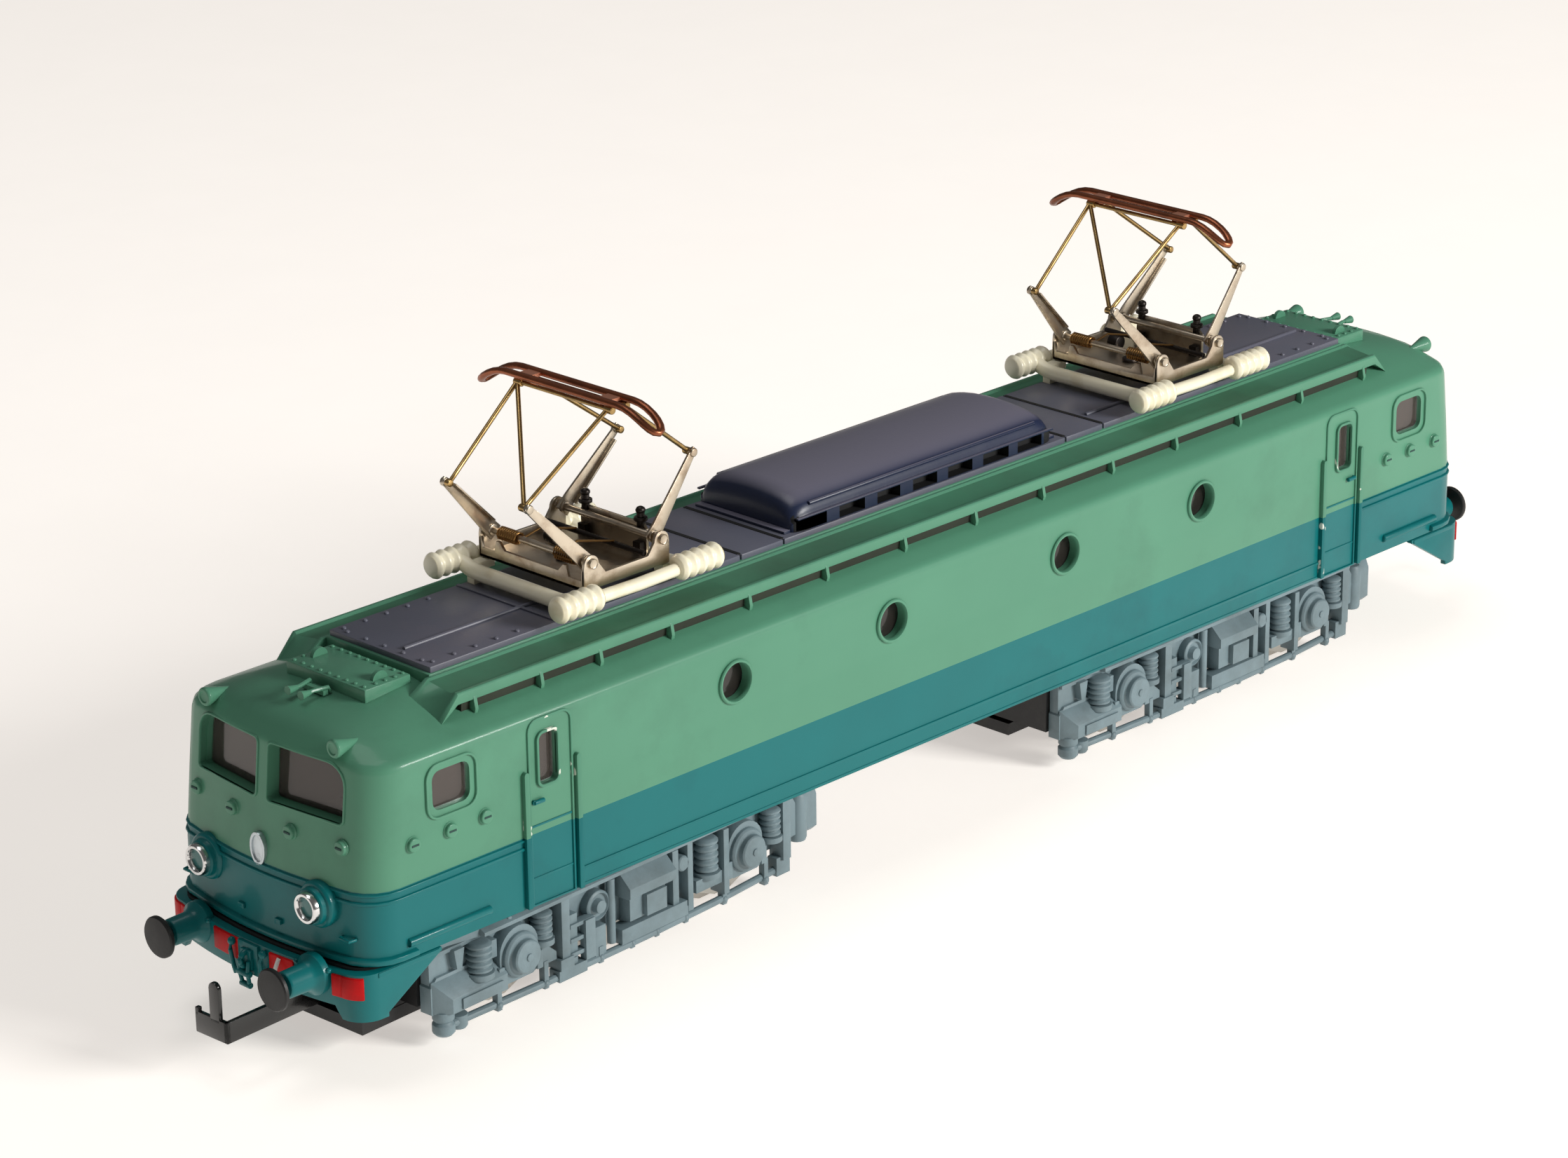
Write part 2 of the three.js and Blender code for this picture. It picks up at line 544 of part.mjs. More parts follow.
function keeperPlate(geared) {
  const { bottom, top } = KEEPER;
  const innerY = geared ? BLOCK.gearSideY : BLOCK.sideY;
  const pocketFloor = box(-POCKET.endX, -POCKET.backX + 1, -POCKET.halfWidth, POCKET.halfWidth, bottom, top);
  const pin = rod('z', PIN.radius, top - 0.5, POCKET.roofZ - 0.15, [-COUPLER.pivotX, 0, 0], 10);
  return join(box(-POCKET.backX, BLOCK.endX, -BLOCK.sideY, innerY, bottom, top), pocketFloor, pin);
}

// Looking at a side from outside, its angular end block is always on the left. All x below are for
// that view, counted from the pivot, and every depth is counted outwards from the bogie's centre line.
function sideframe(side) {
  const s = -side;
  const inner = BLOCK.crossY + 0.1;
  const part = (x0, x1, depth, z0, z1) => box(s * x0, s * x1, side * inner, side * depth, z0, z1);
  const plan = (points, z0, z1) => {
    const placed = points.map(([x, y]) => [s * x, side * y]);
    return prismSolid('z', placed, z0, z1);
  };
  const { left, right, plateY, plateBottom, plateTop, flangeY, flangeTop, axleBox, spring, rail } = FRAME;
  const plateView = [[left, inner], [left, 11.4], [-24.5, plateY], [right, plateY], [right, inner]];
  const flangeView = [[left, inner], [left, 12.2], [-25, flangeY], [right, flangeY], [right, inner]];
  const endView = [[left, inner], [left + 0.4, 12], [-29.8, flangeY], [-21.5, flangeY], [-21.5, inner]];
  const plate = plan(plateView, plateBottom, plateTop);
  const flange = plan(flangeView, plateTop - 0.1, flangeTop);
  const footStep = box(s * left, s * (left + 1.8), side * 11.9, side * 13.7, 1.5, plateBottom);
  let frame = join(plate, flange, plan(endView, 4.4, 6.8), footStep);
  frame = join(frame, part(-31, 26.5, rail.depth, rail.bottom, rail.top), part(-2.6, 8.5, 14.2, 1.4, 5));
  frame = join(frame, part(-10.9, -9.4, 14.2, 4, plateTop), part(25, right, flangeY, 5, plateTop));
  frame = join(frame, part(right, 33.4, 12.2, 5, 11.5));
  const hoodView = [[-3.4, plateY], [5.6, plateY], [5.6, 15.2], [-2.2, 15.2]];
  frame = join(frame, plan(hoodView, 5, 9.4), part(-2.6, 5.4, 13.8, 9, plateTop));
  for (const x of [-axleBox.x, axleBox.x]) {
    frame = join(frame, part(x - 2.9, x + 2.9, 14, 5, plateTop));
    const [from, to] = side > 0 ? [inner, axleBox.depth] : [-axleBox.depth, -inner];
    frame = join(frame, rod('y', axleBox.radius, from, to, [s * x, 0, WHEEL.flange], 12));
  }
  for (const x of spring.xs) {
    frame = join(frame, rod('z', spring.radius, 6, plateTop, [s * x, side * spring.y, 0], 10));
  }
  return frame;
}

// Seen from above, the bar runs beside the pivot's centre line and the front plate crosses it.
function coupler(tipX) {
  const { pivotX, eye, sheet, bottom, top, barY, plateY, prongY, prongTop, stopTop } = COUPLER;
  const ring = rod('z', eye, bottom, top, [-pivotX, 0, 0], 12);
  const neck = box(-pivotX - 1.4, -pivotX + 1.4, barY, 0, bottom, top);
  const bar = box(-tipX, -pivotX, barY, barY + sheet, bottom, top);
  const plate = box(-tipX, -tipX + sheet, barY, plateY, bottom, top);
  const prong = box(-tipX, -tipX + sheet, prongY[0], prongY[1], top - 0.5, prongTop);
  const stop = box(-tipX, -tipX + sheet, plateY - sheet, plateY, top - 0.5, stopTop);
  const bore = rod('z', PIN.bore, bottom - 1, top + 1, [-pivotX, 0, 0], 10);
  return cut(join(ring, neck, bar, plate, prong, stop), bore);
}

function buildBogie(index) {
  const number = index + 1;
  const motored = index === 1;
  const group = new THREE.Group();
  const halfTurn = motored ? 180 : 0;
  group.rotation.z = THREE.MathUtils.degToRad(halfTurn + BOGIE_ANGLE[index]);
  group.position.set(BOGIE_X[index], 0, 0);
  whole.add(group);

  place(`bogie_block_${number}`, motored ? motorBlock() : trailingBlock(), 'black', 0.5, 0.1, group);
  place(`wheel_keeper_${number}`, keeperPlate(motored), 'black', 0.5, 0.1, group);
  place(`sideframe_${number}_a`, sideframe(-1), 'bogie', 0.55, 0, group);
  place(`sideframe_${number}_b`, sideframe(1), 'bogie', 0.55, 0, group);
  AXLE_X.forEach((x, i) => {
    place(`wheelset_${number}_${i + 1}`, wheelset(x, motored), 'steel', 0.3, 0.9, group);
  });

  place(`coupler_${number}`, coupler(COUPLER.tipX[index]), 'black', 0.45, 0.2, group);
  return group;
}

const trailingBogie = buildBogie(0);
const motorBogie = buildBogie(1);
place('pivot_screw', pivotScrew(), 'steel', 0.35, 0.9, trailingBogie);

// ---------------------------------------------------------------- motor and gear train

function loopBored(outline, from, to, bore, centre, sides = 10) {
  const [x, z] = centre;
  return cut(prismSolid('y', outline, from, to), rod('y', bore, from - 1, to + 1, [x, 0, z], sides));
}

function freeGear(x, z, teeth, toothAngle) {
  return cut(gearAt(x, z, teeth, toothAngle), rod('y', PIN.bore, 0, 9, [x, 0, z], 10));
}

function rotor() {
  const { radius, from, to, shaft, shaftFrom } = ROTOR;
  const profile = [
    [0, shaftFrom], [shaft, shaftFrom], [shaft, from - 1.6], [2, from - 1.6], [2, from],
    [radius, from], [radius, to], [shaft, to], [shaft, GEAR.to + 0.6], [0, GEAR.to + 0.6],
  ];
  return join(turned('y', profile, [0, 0, ROTOR_Z], 12), gearAt(0, ROTOR_Z, GEAR.pinionTeeth, -90));
}

function magnetFrame() {
  const { halfLength, bottom, top, from, to } = MAGNET;
  const chamfer = 2.5;
  const outline = mirrored([
    [halfLength, bottom], [halfLength, top - chamfer], [halfLength - chamfer, top],
  ]);
  const frame = loopBored(outline, from, to, ROTOR.magnetBore, [0, ROTOR_Z], 20);
  const post = box(-2.5, 2.5, -0.3, 5, bottom - 1, ROTOR_Z - ROTOR.magnetBore + 1.5);
  return cut(frame, post);
}

function brushPlate() {
  const outline = mirrored([[6.5, 19.2], [6.5, 27.5], [4, 30]]);
  return loopBored(outline, -7.6, MAGNET.from - 1.1, PIN.bore, [0, ROTOR_Z]);
}

function turntableRetainer() {
  const z = CHASSIS.top + 0.2;
  const ring = cut(rod('z', TURNTABLE.retainer, z, z + 0.8, [0, 0, 0], 24),
    rod('z', 13.2, z - 1, z + 2, [0, 0, 0], 24));
  return ring;
}

place('turntable_retainer', turntableRetainer(), 'steel', 0.4, 0.8, motorBogie);
place('motor_magnet', magnetFrame(), 'zinc', 0.5, 0.6, motorBogie);
place('motor_brush_plate', brushPlate(), 'black', 0.5, 0, motorBogie);
place('motor_rotor', rotor(), 'winding', 0.4, 0.6, motorBogie);
place('idler_gear_top', freeGear(0, TOP_GEAR_Z, GEAR.topTeeth, -90 + halfTooth(GEAR.topTeeth)),
  'brass', 0.4, 0.8, motorBogie);
place('idler_gear_outer', freeGear(-SIDE_GEAR_X, WHEEL.flange, GEAR.sideTeeth, halfTooth(GEAR.sideTeeth)),
  'brass', 0.4, 0.8, motorBogie);
place('idler_gear_inner', freeGear(SIDE_GEAR_X, WHEEL.flange, GEAR.sideTeeth, halfTooth(GEAR.sideTeeth)),
  'brass', 0.4, 0.8, motorBogie);

// ---------------------------------------------------------------- pantographs

function insulatorFrame(x) {
  const { barrelY, z, radius, from, to, beamX, footZ } = INSULATOR;
  let frame = null;
  for (const end of [-1, 1]) {
    const beam = box(x + end * (beamX - 0.9), x + end * (beamX + 0.9), -barrelY, barrelY, z - 1, z + 0.7);
    frame = frame ? join(frame, beam) : beam;
    for (const side of [-1, 1]) {
      const [x0, x1] = end > 0 ? [from, to] : [-to, -from];
      frame = join(frame, rod('x', radius, x + x0, x + x1, [0, side * barrelY, z], 10));
      frame = join(frame, box(x + end * 7, x + end * 9, side * 9.9, side * 11.5, footZ, z));
      const seatTop = TRAY.floor - 0.1;
      frame = join(frame, box(x + end * 5.6, x + end * beamX, side * 7.4, side * barrelY, z - 1, seatTop));
    }
  }
  for (const side of [-1, 1]) {
    const [nearY, farY] = [side * (barrelY - 0.8), side * (barrelY + 0.8)];
    frame = join(frame, box(x - from - 1, x + from + 1, nearY, farY, z - 1, z + 0.6));
  }
  return frame;
}

function pantographBase(x) {
  const { floor, sheet, frontTop, rearTop, earTop } = TRAY;
  let tray = box(x - TRAY.x, x + TRAY.x, -TRAY.y, TRAY.y, floor, floor + sheet);
  tray = join(tray, box(x - TRAY.x, x - TRAY.x + sheet, -TRAY.y, TRAY.y, floor, frontTop));
  tray = join(tray, box(x + TRAY.x - sheet, x + TRAY.x, -5.6, 5.6, floor, rearTop));
  for (const side of [-1, 1]) {
    const [y0, y1] = [side * (TRAY.y - sheet), side * TRAY.y];
    tray = join(tray, box(x - TRAY.x, x + TRAY.x, y0, y1, floor, floor + 1.4));
    for (const end of [-1, 1]) {
      const ear = x + end * PANTO.pivot[0];
      tray = join(tray, box(ear - 1.1, ear + 1.1, y0, y1, floor, earTop));
    }
    tray = join(tray, rod('z', 0.4, rearTop - 0.5, rearTop + 1.8, [x + TRAY.x - 0.4, side * 4.7, 0], 8));
  }
  return tray;
}

function lowerArm(x, end, ys) {
  const [pivotX, pivotZ] = PANTO.pivot;
  const [kneeX, kneeZ] = PANTO.knee;
  let arm = rod('y', PANTO.shaft, -ys[0] - 0.3, ys[0] + 0.3, [x + end * pivotX, 0, pivotZ], 8);
  for (const side of [-1, 1]) {
    const foot = [x + end * pivotX, side * ys[0], pivotZ];
    const knee = [x + end * kneeX, side * ys[1], kneeZ];
    arm = join(arm, strut(foot, knee, 1.3, 0.4));
    arm = join(arm, rod('y', 0.7, side * ys[1] - 0.22, side * ys[1] + 0.22, [x + end * kneeX, 0, kneeZ], 8));
  }
  return arm;
}

function upperArm(x, end, kneeY, braced) {
  const [kneeX, kneeZ] = PANTO.knee;
  const [crownX, crownZ] = PANTO.crown;
  const knee = (side) => [x + end * kneeX, side * (kneeY - 0.75), kneeZ];
  const crown = (side) => [x + end * crownX, side * PANTO.crownY, crownZ];
  let frame = rod('y', PANTO.wire, -PANTO.crownY - 0.4, PANTO.crownY + 0.4, [x + end * crownX, 0, crownZ], 6);
  for (const side of [-1, 1]) {
    frame = join(frame, wire(knee(side), crown(side), PANTO.wire));
    frame = join(frame, rod('y', 0.6, side * (kneeY - 0.75) - 0.25, side * (kneeY - 0.75) + 0.25,
      [x + end * kneeX, 0, kneeZ], 8));
  }
  return braced ? join(frame, wire(knee(-1), crown(1), PANTO.wire)) : frame;
}

function collectorHead(x) {
  const { z, stripX, stripY, hornY, hornDrop, plateY } = HEAD;
  const up = new THREE.Vector3(0, 0, 1);
  let head = null;
  for (const end of [-1, 1]) {
    const at = x + end * stripX;
    const strip = box(at - 0.5, at + 0.5, -stripY, stripY, z - 0.2, z + 0.2);
    head = head ? join(head, strip) : strip;
    for (const side of [-1, 1]) {
      head = join(head, strut([at, side * (stripY - 0.2), z], [at, side * 12.4, z - 0.7], 1.0, 0.4, up));
      head = join(head, strut([at, side * 12.3, z - 0.65], [at, side * hornY, z - hornDrop], 1.0, 0.4, up));
    }
  }
  for (const side of [-1, 1]) {
    const [nearY, farY] = [side * (plateY - 0.9), side * (plateY + 0.9)];
    head = join(head, box(x - stripX, x + stripX, nearY, farY, z - 0.2, z + 0.1));
    head = join(head, box(x - stripX - 0.5, x + stripX + 0.5, side * (hornY - 0.5), side * (hornY + 0.2),
      z - hornDrop - 0.2, z - hornDrop + 0.3));
  }
  return head;
}

PANTO_X.forEach((x, index) => {
  const number = index + 1;
  place(`insulator_frame_${number}`, insulatorFrame(x), 'cream', 0.4, 0);
  place(`pantograph_base_${number}`, pantographBase(x), 'nickel', 0.35, 0.9);
  place(`lower_arm_front_${number}`, lowerArm(x, -1, PANTO.frontY), 'nickel', 0.3, 0.9);
  place(`lower_arm_rear_${number}`, lowerArm(x, 1, PANTO.rearY), 'nickel', 0.3, 0.9);
  place(`upper_arm_front_${number}`, upperArm(x, -1, PANTO.frontY[1], true), 'nickel', 0.3, 0.9);
  place(`upper_arm_rear_${number}`, upperArm(x, 1, PANTO.rearY[1], false), 'nickel', 0.3, 0.9);
  place(`collector_head_${number}`, collectorHead(x), 'copper', 0.35, 0.9);
});

export default whole;
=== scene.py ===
import math

import bpy
import bmesh
from mathutils import Matrix, Vector
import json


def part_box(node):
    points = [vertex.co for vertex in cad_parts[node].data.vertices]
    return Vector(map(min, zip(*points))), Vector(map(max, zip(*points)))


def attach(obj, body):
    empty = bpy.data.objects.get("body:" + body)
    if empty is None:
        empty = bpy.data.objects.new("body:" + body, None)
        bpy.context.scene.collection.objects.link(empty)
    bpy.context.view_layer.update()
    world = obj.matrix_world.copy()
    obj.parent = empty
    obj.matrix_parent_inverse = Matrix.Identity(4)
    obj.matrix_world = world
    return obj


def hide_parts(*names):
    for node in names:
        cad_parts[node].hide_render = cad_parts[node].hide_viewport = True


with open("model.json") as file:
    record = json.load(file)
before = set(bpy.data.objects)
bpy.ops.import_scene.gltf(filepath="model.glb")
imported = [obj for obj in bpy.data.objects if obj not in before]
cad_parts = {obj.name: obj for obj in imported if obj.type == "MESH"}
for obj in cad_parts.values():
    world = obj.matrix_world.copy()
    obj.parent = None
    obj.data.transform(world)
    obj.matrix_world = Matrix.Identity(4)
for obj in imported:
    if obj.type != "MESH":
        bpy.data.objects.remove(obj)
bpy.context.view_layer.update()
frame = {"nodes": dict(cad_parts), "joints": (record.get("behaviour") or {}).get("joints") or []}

MM = 0.001
ENDS = (-1, 1)
SIDES = (-1, 1)
ROOT = "locomotive"

# ---------------------------------------------------------------- dimensions, millimetres

BODY = dict(half_length=101.0, half_width=17.15, bottom=14.4, wall=1.2, face_radius=64.0)
BAND_Z = 23.2
DECK = dict(half_length=82.2, half_width=8.65, bottom=42.45, top=43.2)
WINDSCREEN = dict(inner=1.0, outer=12.4, bottom=30.6, top=37.2)
CAB_WINDOW = dict(near=84.3, far=89.8, bottom=30.6, top=35.3)
DOOR_WINDOW = dict(near=71.3, far=74.1, bottom=28.9, top=35.1)
PORTHOLE_XS = (-42.7, -15.9, 15.9, 42.7)
PORTHOLE_Z = 32.2
FRONT_STUD_YS = (-12.5, -5.0, 5.0, 12.5)
SIDE_STUD_XS = (82.3, 87.5, 93.0)
ARM_PIVOT = dict(x=5.6, z=48.9)
ARM_KNEE = dict(x=13.3, z=57.0)


# ---------------------------------------------------------------- small mesh kit, millimetres

class Solid:
    """Collects closed shapes in millimetres, each with a material number."""

    def __init__(self):
        self.verts, self.faces, self.slots = [], [], []

    def add(self, shape, slot=0, matrix=None):
        verts, faces = shape
        base = len(self.verts)
        if matrix is not None:
            verts = [tuple(matrix @ Vector(v)) for v in verts]
        self.verts += [tuple(v) for v in verts]
        self.faces += [tuple(i + base for i in f) for f in faces]
        self.slots += [slot] * len(faces)
        return self


def block(x0, x1, y0, y1, z0, z1):
    x0, x1, y0, y1, z0, z1 = min(x0, x1), max(x0, x1), min(y0, y1), max(y0, y1), min(z0, z1), max(z0, z1)
    verts = [(x, y, z) for z in (z0, z1) for y in (y0, y1) for x in (x0, x1)]
    faces = [(0, 2, 3, 1), (4, 5, 7, 6), (0, 1, 5, 4), (2, 6, 7, 3), (0, 4, 6, 2), (1, 3, 7, 5)]
    return verts, faces


def extrude(axis, outline, start, end):
    """A flat outline pushed along an axis: (y, z) for x, (x, z) for y and (x, y) for z."""
    place = {"x": lambda u, v, w: (w, u, v),
             "y": lambda u, v, w: (u, w, v),
             "z": lambda u, v, w: (u, v, w)}[axis]
    count = len(outline)
    verts = [place(u, v, w) for w in (start, end) for u, v in outline]
    faces = [tuple(range(count)), tuple(range(2 * count - 1, count - 1, -1))]
    faces += [(i, i + count, (i + 1) % count + count, (i + 1) % count) for i in range(count)]
    return verts, faces


def lathe(axis, profile, centre=(0, 0, 0), sides=24, phase=0.0):
    """A turned piece from (radius, along) pairs that start and end on the axis."""
    verts, rings = [], []
    for radius, along in profile:
        if radius < 1e-6:
            rings.append([len(verts)])
            verts.append((0, 0, along))
            continue
        ring = []
        for k in range(sides):
            angle = 2 * math.pi * (k + phase) / sides
            ring.append(len(verts))
            verts.append((radius * math.cos(angle), radius * math.sin(angle), along))
        rings.append(ring)
    faces = []
    for a, b in zip(rings, rings[1:]):
        for k in range(sides):
            n = (k + 1) % sides
            if len(a) == 1 and len(b) > 1:
                faces.append((a[0], b[n], b[k]))
            elif len(b) == 1 and len(a) > 1:
                faces.append((a[k], a[n], b[0]))
            elif len(a) > 1:
                faces.append((a[k], a[n], b[n], b[k]))
    turn = {"x": lambda v: (v[2], v[0], v[1]), "y": lambda v: (v[1], v[2], v[0]), "z": lambda v: v}[axis]
    moved = []
    for v in verts:
        x, y, z = turn(v)
        moved.append((x + centre[0], y + centre[1], z + centre[2]))
    return moved, faces


def rod(axis, radius, start, end, centre=(0, 0, 0), sides=16, soft=0.0):
    s = min(soft, radius * 0.9)
    if s <= 0:
        return lathe(axis, [(0, start), (radius, start), (radius, end), (0, end)], centre, sides)
    return lathe(axis, [(0, start), (radius - s, start), (radius - 0.3 * s, start + 0.3 * s),
                        (radius, start + s),
                        (radius, end - s), (radius - 0.3 * s, end - 0.3 * s), (radius - s, end), (0, end)],
                 centre, sides)


def ball(radius, centre, squash=1.0, sides=14):
    rows = 7
    profile = [(radius * math.sin(math.pi * i / rows), -radius * squash * math.cos(math.pi * i / rows))
               for i in range(rows + 1)]
    return lathe("z", profile, centre, sides)


def tube(points, radius, sides=8, closed=False, flat=1.0):
    """A round (or flattened) wire along points."""
    pts = [Vector(p) for p in points]
    count = len(pts)
    verts, faces = [], []
    up = Vector((0, 0, 1))
    for i, p in enumerate(pts):
        before = pts[(i - 1) % count] if closed or i > 0 else p
        after = pts[(i + 1) % count] if closed or i < count - 1 else p
        along = (after - before).normalized()
        guide = up if abs(along.dot(up)) < 0.95 else Vector((0, 1, 0))
        side = along.cross(guide).normalized()
        third = side.cross(along).normalized()
        for k in range(sides):
            angle = 2 * math.pi * k / sides
            verts.append(tuple(p + side * (radius * math.cos(angle))
                               + third * (radius * flat * math.sin(angle))))
    spans = count if closed else count - 1
    for i in range(spans):
        a, b = i * sides, ((i + 1) % count) * sides
        for k in range(sides):
            n = (k + 1) % sides
            faces.append((a + k, a + n, b + n, b + k))
    if not closed:
        faces.append(tuple(range(sides - 1, -1, -1)))
        faces.append(tuple(range((count - 1) * sides, count * sides)))
    return verts, faces


def oval_points(centre_u, centre_v, radius_u, radius_v, count=28):
    """Points round an oval, counter-clockwise from +u."""
    return [(centre_u + radius_u * math.cos(2 * math.pi * k / count),
             centre_v + radius_v * math.sin(2 * math.pi * k / count)) for k in range(count)]


def strip(a, b, width_dir, width, thickness):
    """A flat bar between two points, with its width along width_dir."""
    a, b = Vector(a), Vector(b)
    along = (b - a).normalized()
    wide = Vector(width_dir)
    wide = (wide - along * along.dot(wide)).normalized()
    thin = along.cross(wide).normalized()
    verts = []
    for p in (a, b):
        for u, v in ((-1, -1), (1, -1), (1, 1), (-1, 1)):
            verts.append(tuple(p + wide * (u * width / 2) + thin * (v * thickness / 2)))
    faces = [(3, 2, 1, 0), (4, 5, 6, 7)] + [(i, (i + 1) % 4, (i + 1) % 4 + 4, i + 4) for i in range(4)]
    return verts, faces


def rounded(x0, x1, z0, z1, radii, steps=4):
    """A rounded rectangle; the four radii go round from the corner at low x, low z towards high x."""
    corners = [(x0, z0, 1, 1, 180), (x1, z0, -1, 1, 270), (x1, z1, -1, -1, 0), (x0, z1, 1, -1, 90)]
    points = []
    for (x, z, dx, dz, start), r in zip(corners, radii):
        if r <= 0:
            points.append((x, z))
            continue
        for k in range(steps + 1):
            angle = math.radians(start + 90 * k / steps)
            points.append((x + dx * r + r * math.cos(angle), z + dz * r + r * math.sin(angle)))
    return points


def ring_frame(outline_out, outline_in, place, low, high):
    """A raised frame between two outlines of equal point count; place(u, v, height) gives a point."""
    count = len(outline_out)
    verts = [place(u, v, h)
             for h, outline in ((low, outline_out), (high, outline_out),
                                (high, outline_in), (low, outline_in))
             for u, v in outline]
    faces = []
    for layer in range(4):
        nxt = (layer + 1) % 4
        for i in range(count):
            j = (i + 1) % count
            faces.append((layer * count + i, layer * count + j, nxt * count + j, nxt * count + i))
    return verts, faces


def loft(rings, cap_start=True, cap_end=True):
    count = len(rings[0])
    verts = [p for ring in rings for p in ring]
    faces = []
    for r in range(len(rings) - 1):
        for i in range(count):
            j = (i + 1) % count
            faces.append((r * count + i, r * count + j, (r + 1) * count + j, (r + 1) * count + i))
    if cap_start:
        faces.append(tuple(range(count - 1, -1, -1)))
    if cap_end:
        last = (len(rings) - 1) * count
        faces.append(tuple(range(last, last + count)))
    return verts, faces


def make(name, solid, materials, smooth=32, bevel=0.0, segments=2, merge=0.0005):
    """Turns a Solid into an object in metres."""
    mesh = bpy.data.meshes.new(name)
    mesh.from_pydata([(x * MM, y * MM, z * MM) for x, y, z in solid.verts], [], solid.faces)
    mesh.polygons.foreach_set("material_index", solid.slots)
    work = bmesh.new()
    work.from_mesh(mesh)
    if merge:
        bmesh.ops.remove_doubles(work, verts=work.verts, dist=merge * MM)
    bmesh.ops.recalc_face_normals(work, faces=work.faces)
    work.to_mesh(mesh)
    work.free()
    for mat in materials:
        mesh.materials.append(mat)
    obj = bpy.data.objects.new(name, mesh)
    bpy.context.scene.collection.objects.link(obj)
    if bevel:
        cut = obj.modifiers.new("edges", "BEVEL")
        cut.width = bevel * MM
        cut.segments = segments
        cut.limit_method = "ANGLE"
        cut.angle_limit = math.radians(35)
        cut.use_clamp_overlap = True
        bake(obj)
    finish_shading(obj, smooth)
    return obj


def bake(obj):
    """Applies every modifier of obj to its mesh."""
    graph = bpy.context.evaluated_depsgraph_get()
    done = bpy.data.meshes.new_from_object(obj.evaluated_get(graph))
    obj.modifiers.clear()
    old = obj.data
    obj.data = done
    bpy.data.meshes.remove(old)


def finish_shading(obj, smooth):
    mesh = obj.data
    mesh.polygons.foreach_set("use_smooth", [True] * len(mesh.polygons))
    mesh.set_sharp_from_angle(angle=math.radians(smooth))
    mesh.update()


def carve(obj, cutter_solid, smooth=32):
    """Cuts a Solid out of obj."""
    cutter = make(obj.name + "_cutter", cutter_solid, [], merge=0.0)
    work = obj.modifiers.new("cut", "BOOLEAN")
    work.operation = "DIFFERENCE"
    work.solver = "EXACT"
    work.object = cutter
    bake(obj)
    bpy.data.objects.remove(cutter)
    finish_shading(obj, smooth)


def ride(obj, body=ROOT, replaces=()):
    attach(obj, body)
    if replaces:
        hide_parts(*replaces)
    return obj


# ---------------------------------------------------------------- materials

def srgb(r, g, b):
    def channel(v):
        v /= 255
        return v / 12.92 if v <= 0.04045 else ((v + 0.055) / 1.055) ** 2.4
    return (channel(r), channel(g), channel(b), 1.0)


def shade(colour, k):
    return (min(1, colour[0] * k), min(1, colour[1] * k), min(1, colour[2] * k), 1.0)


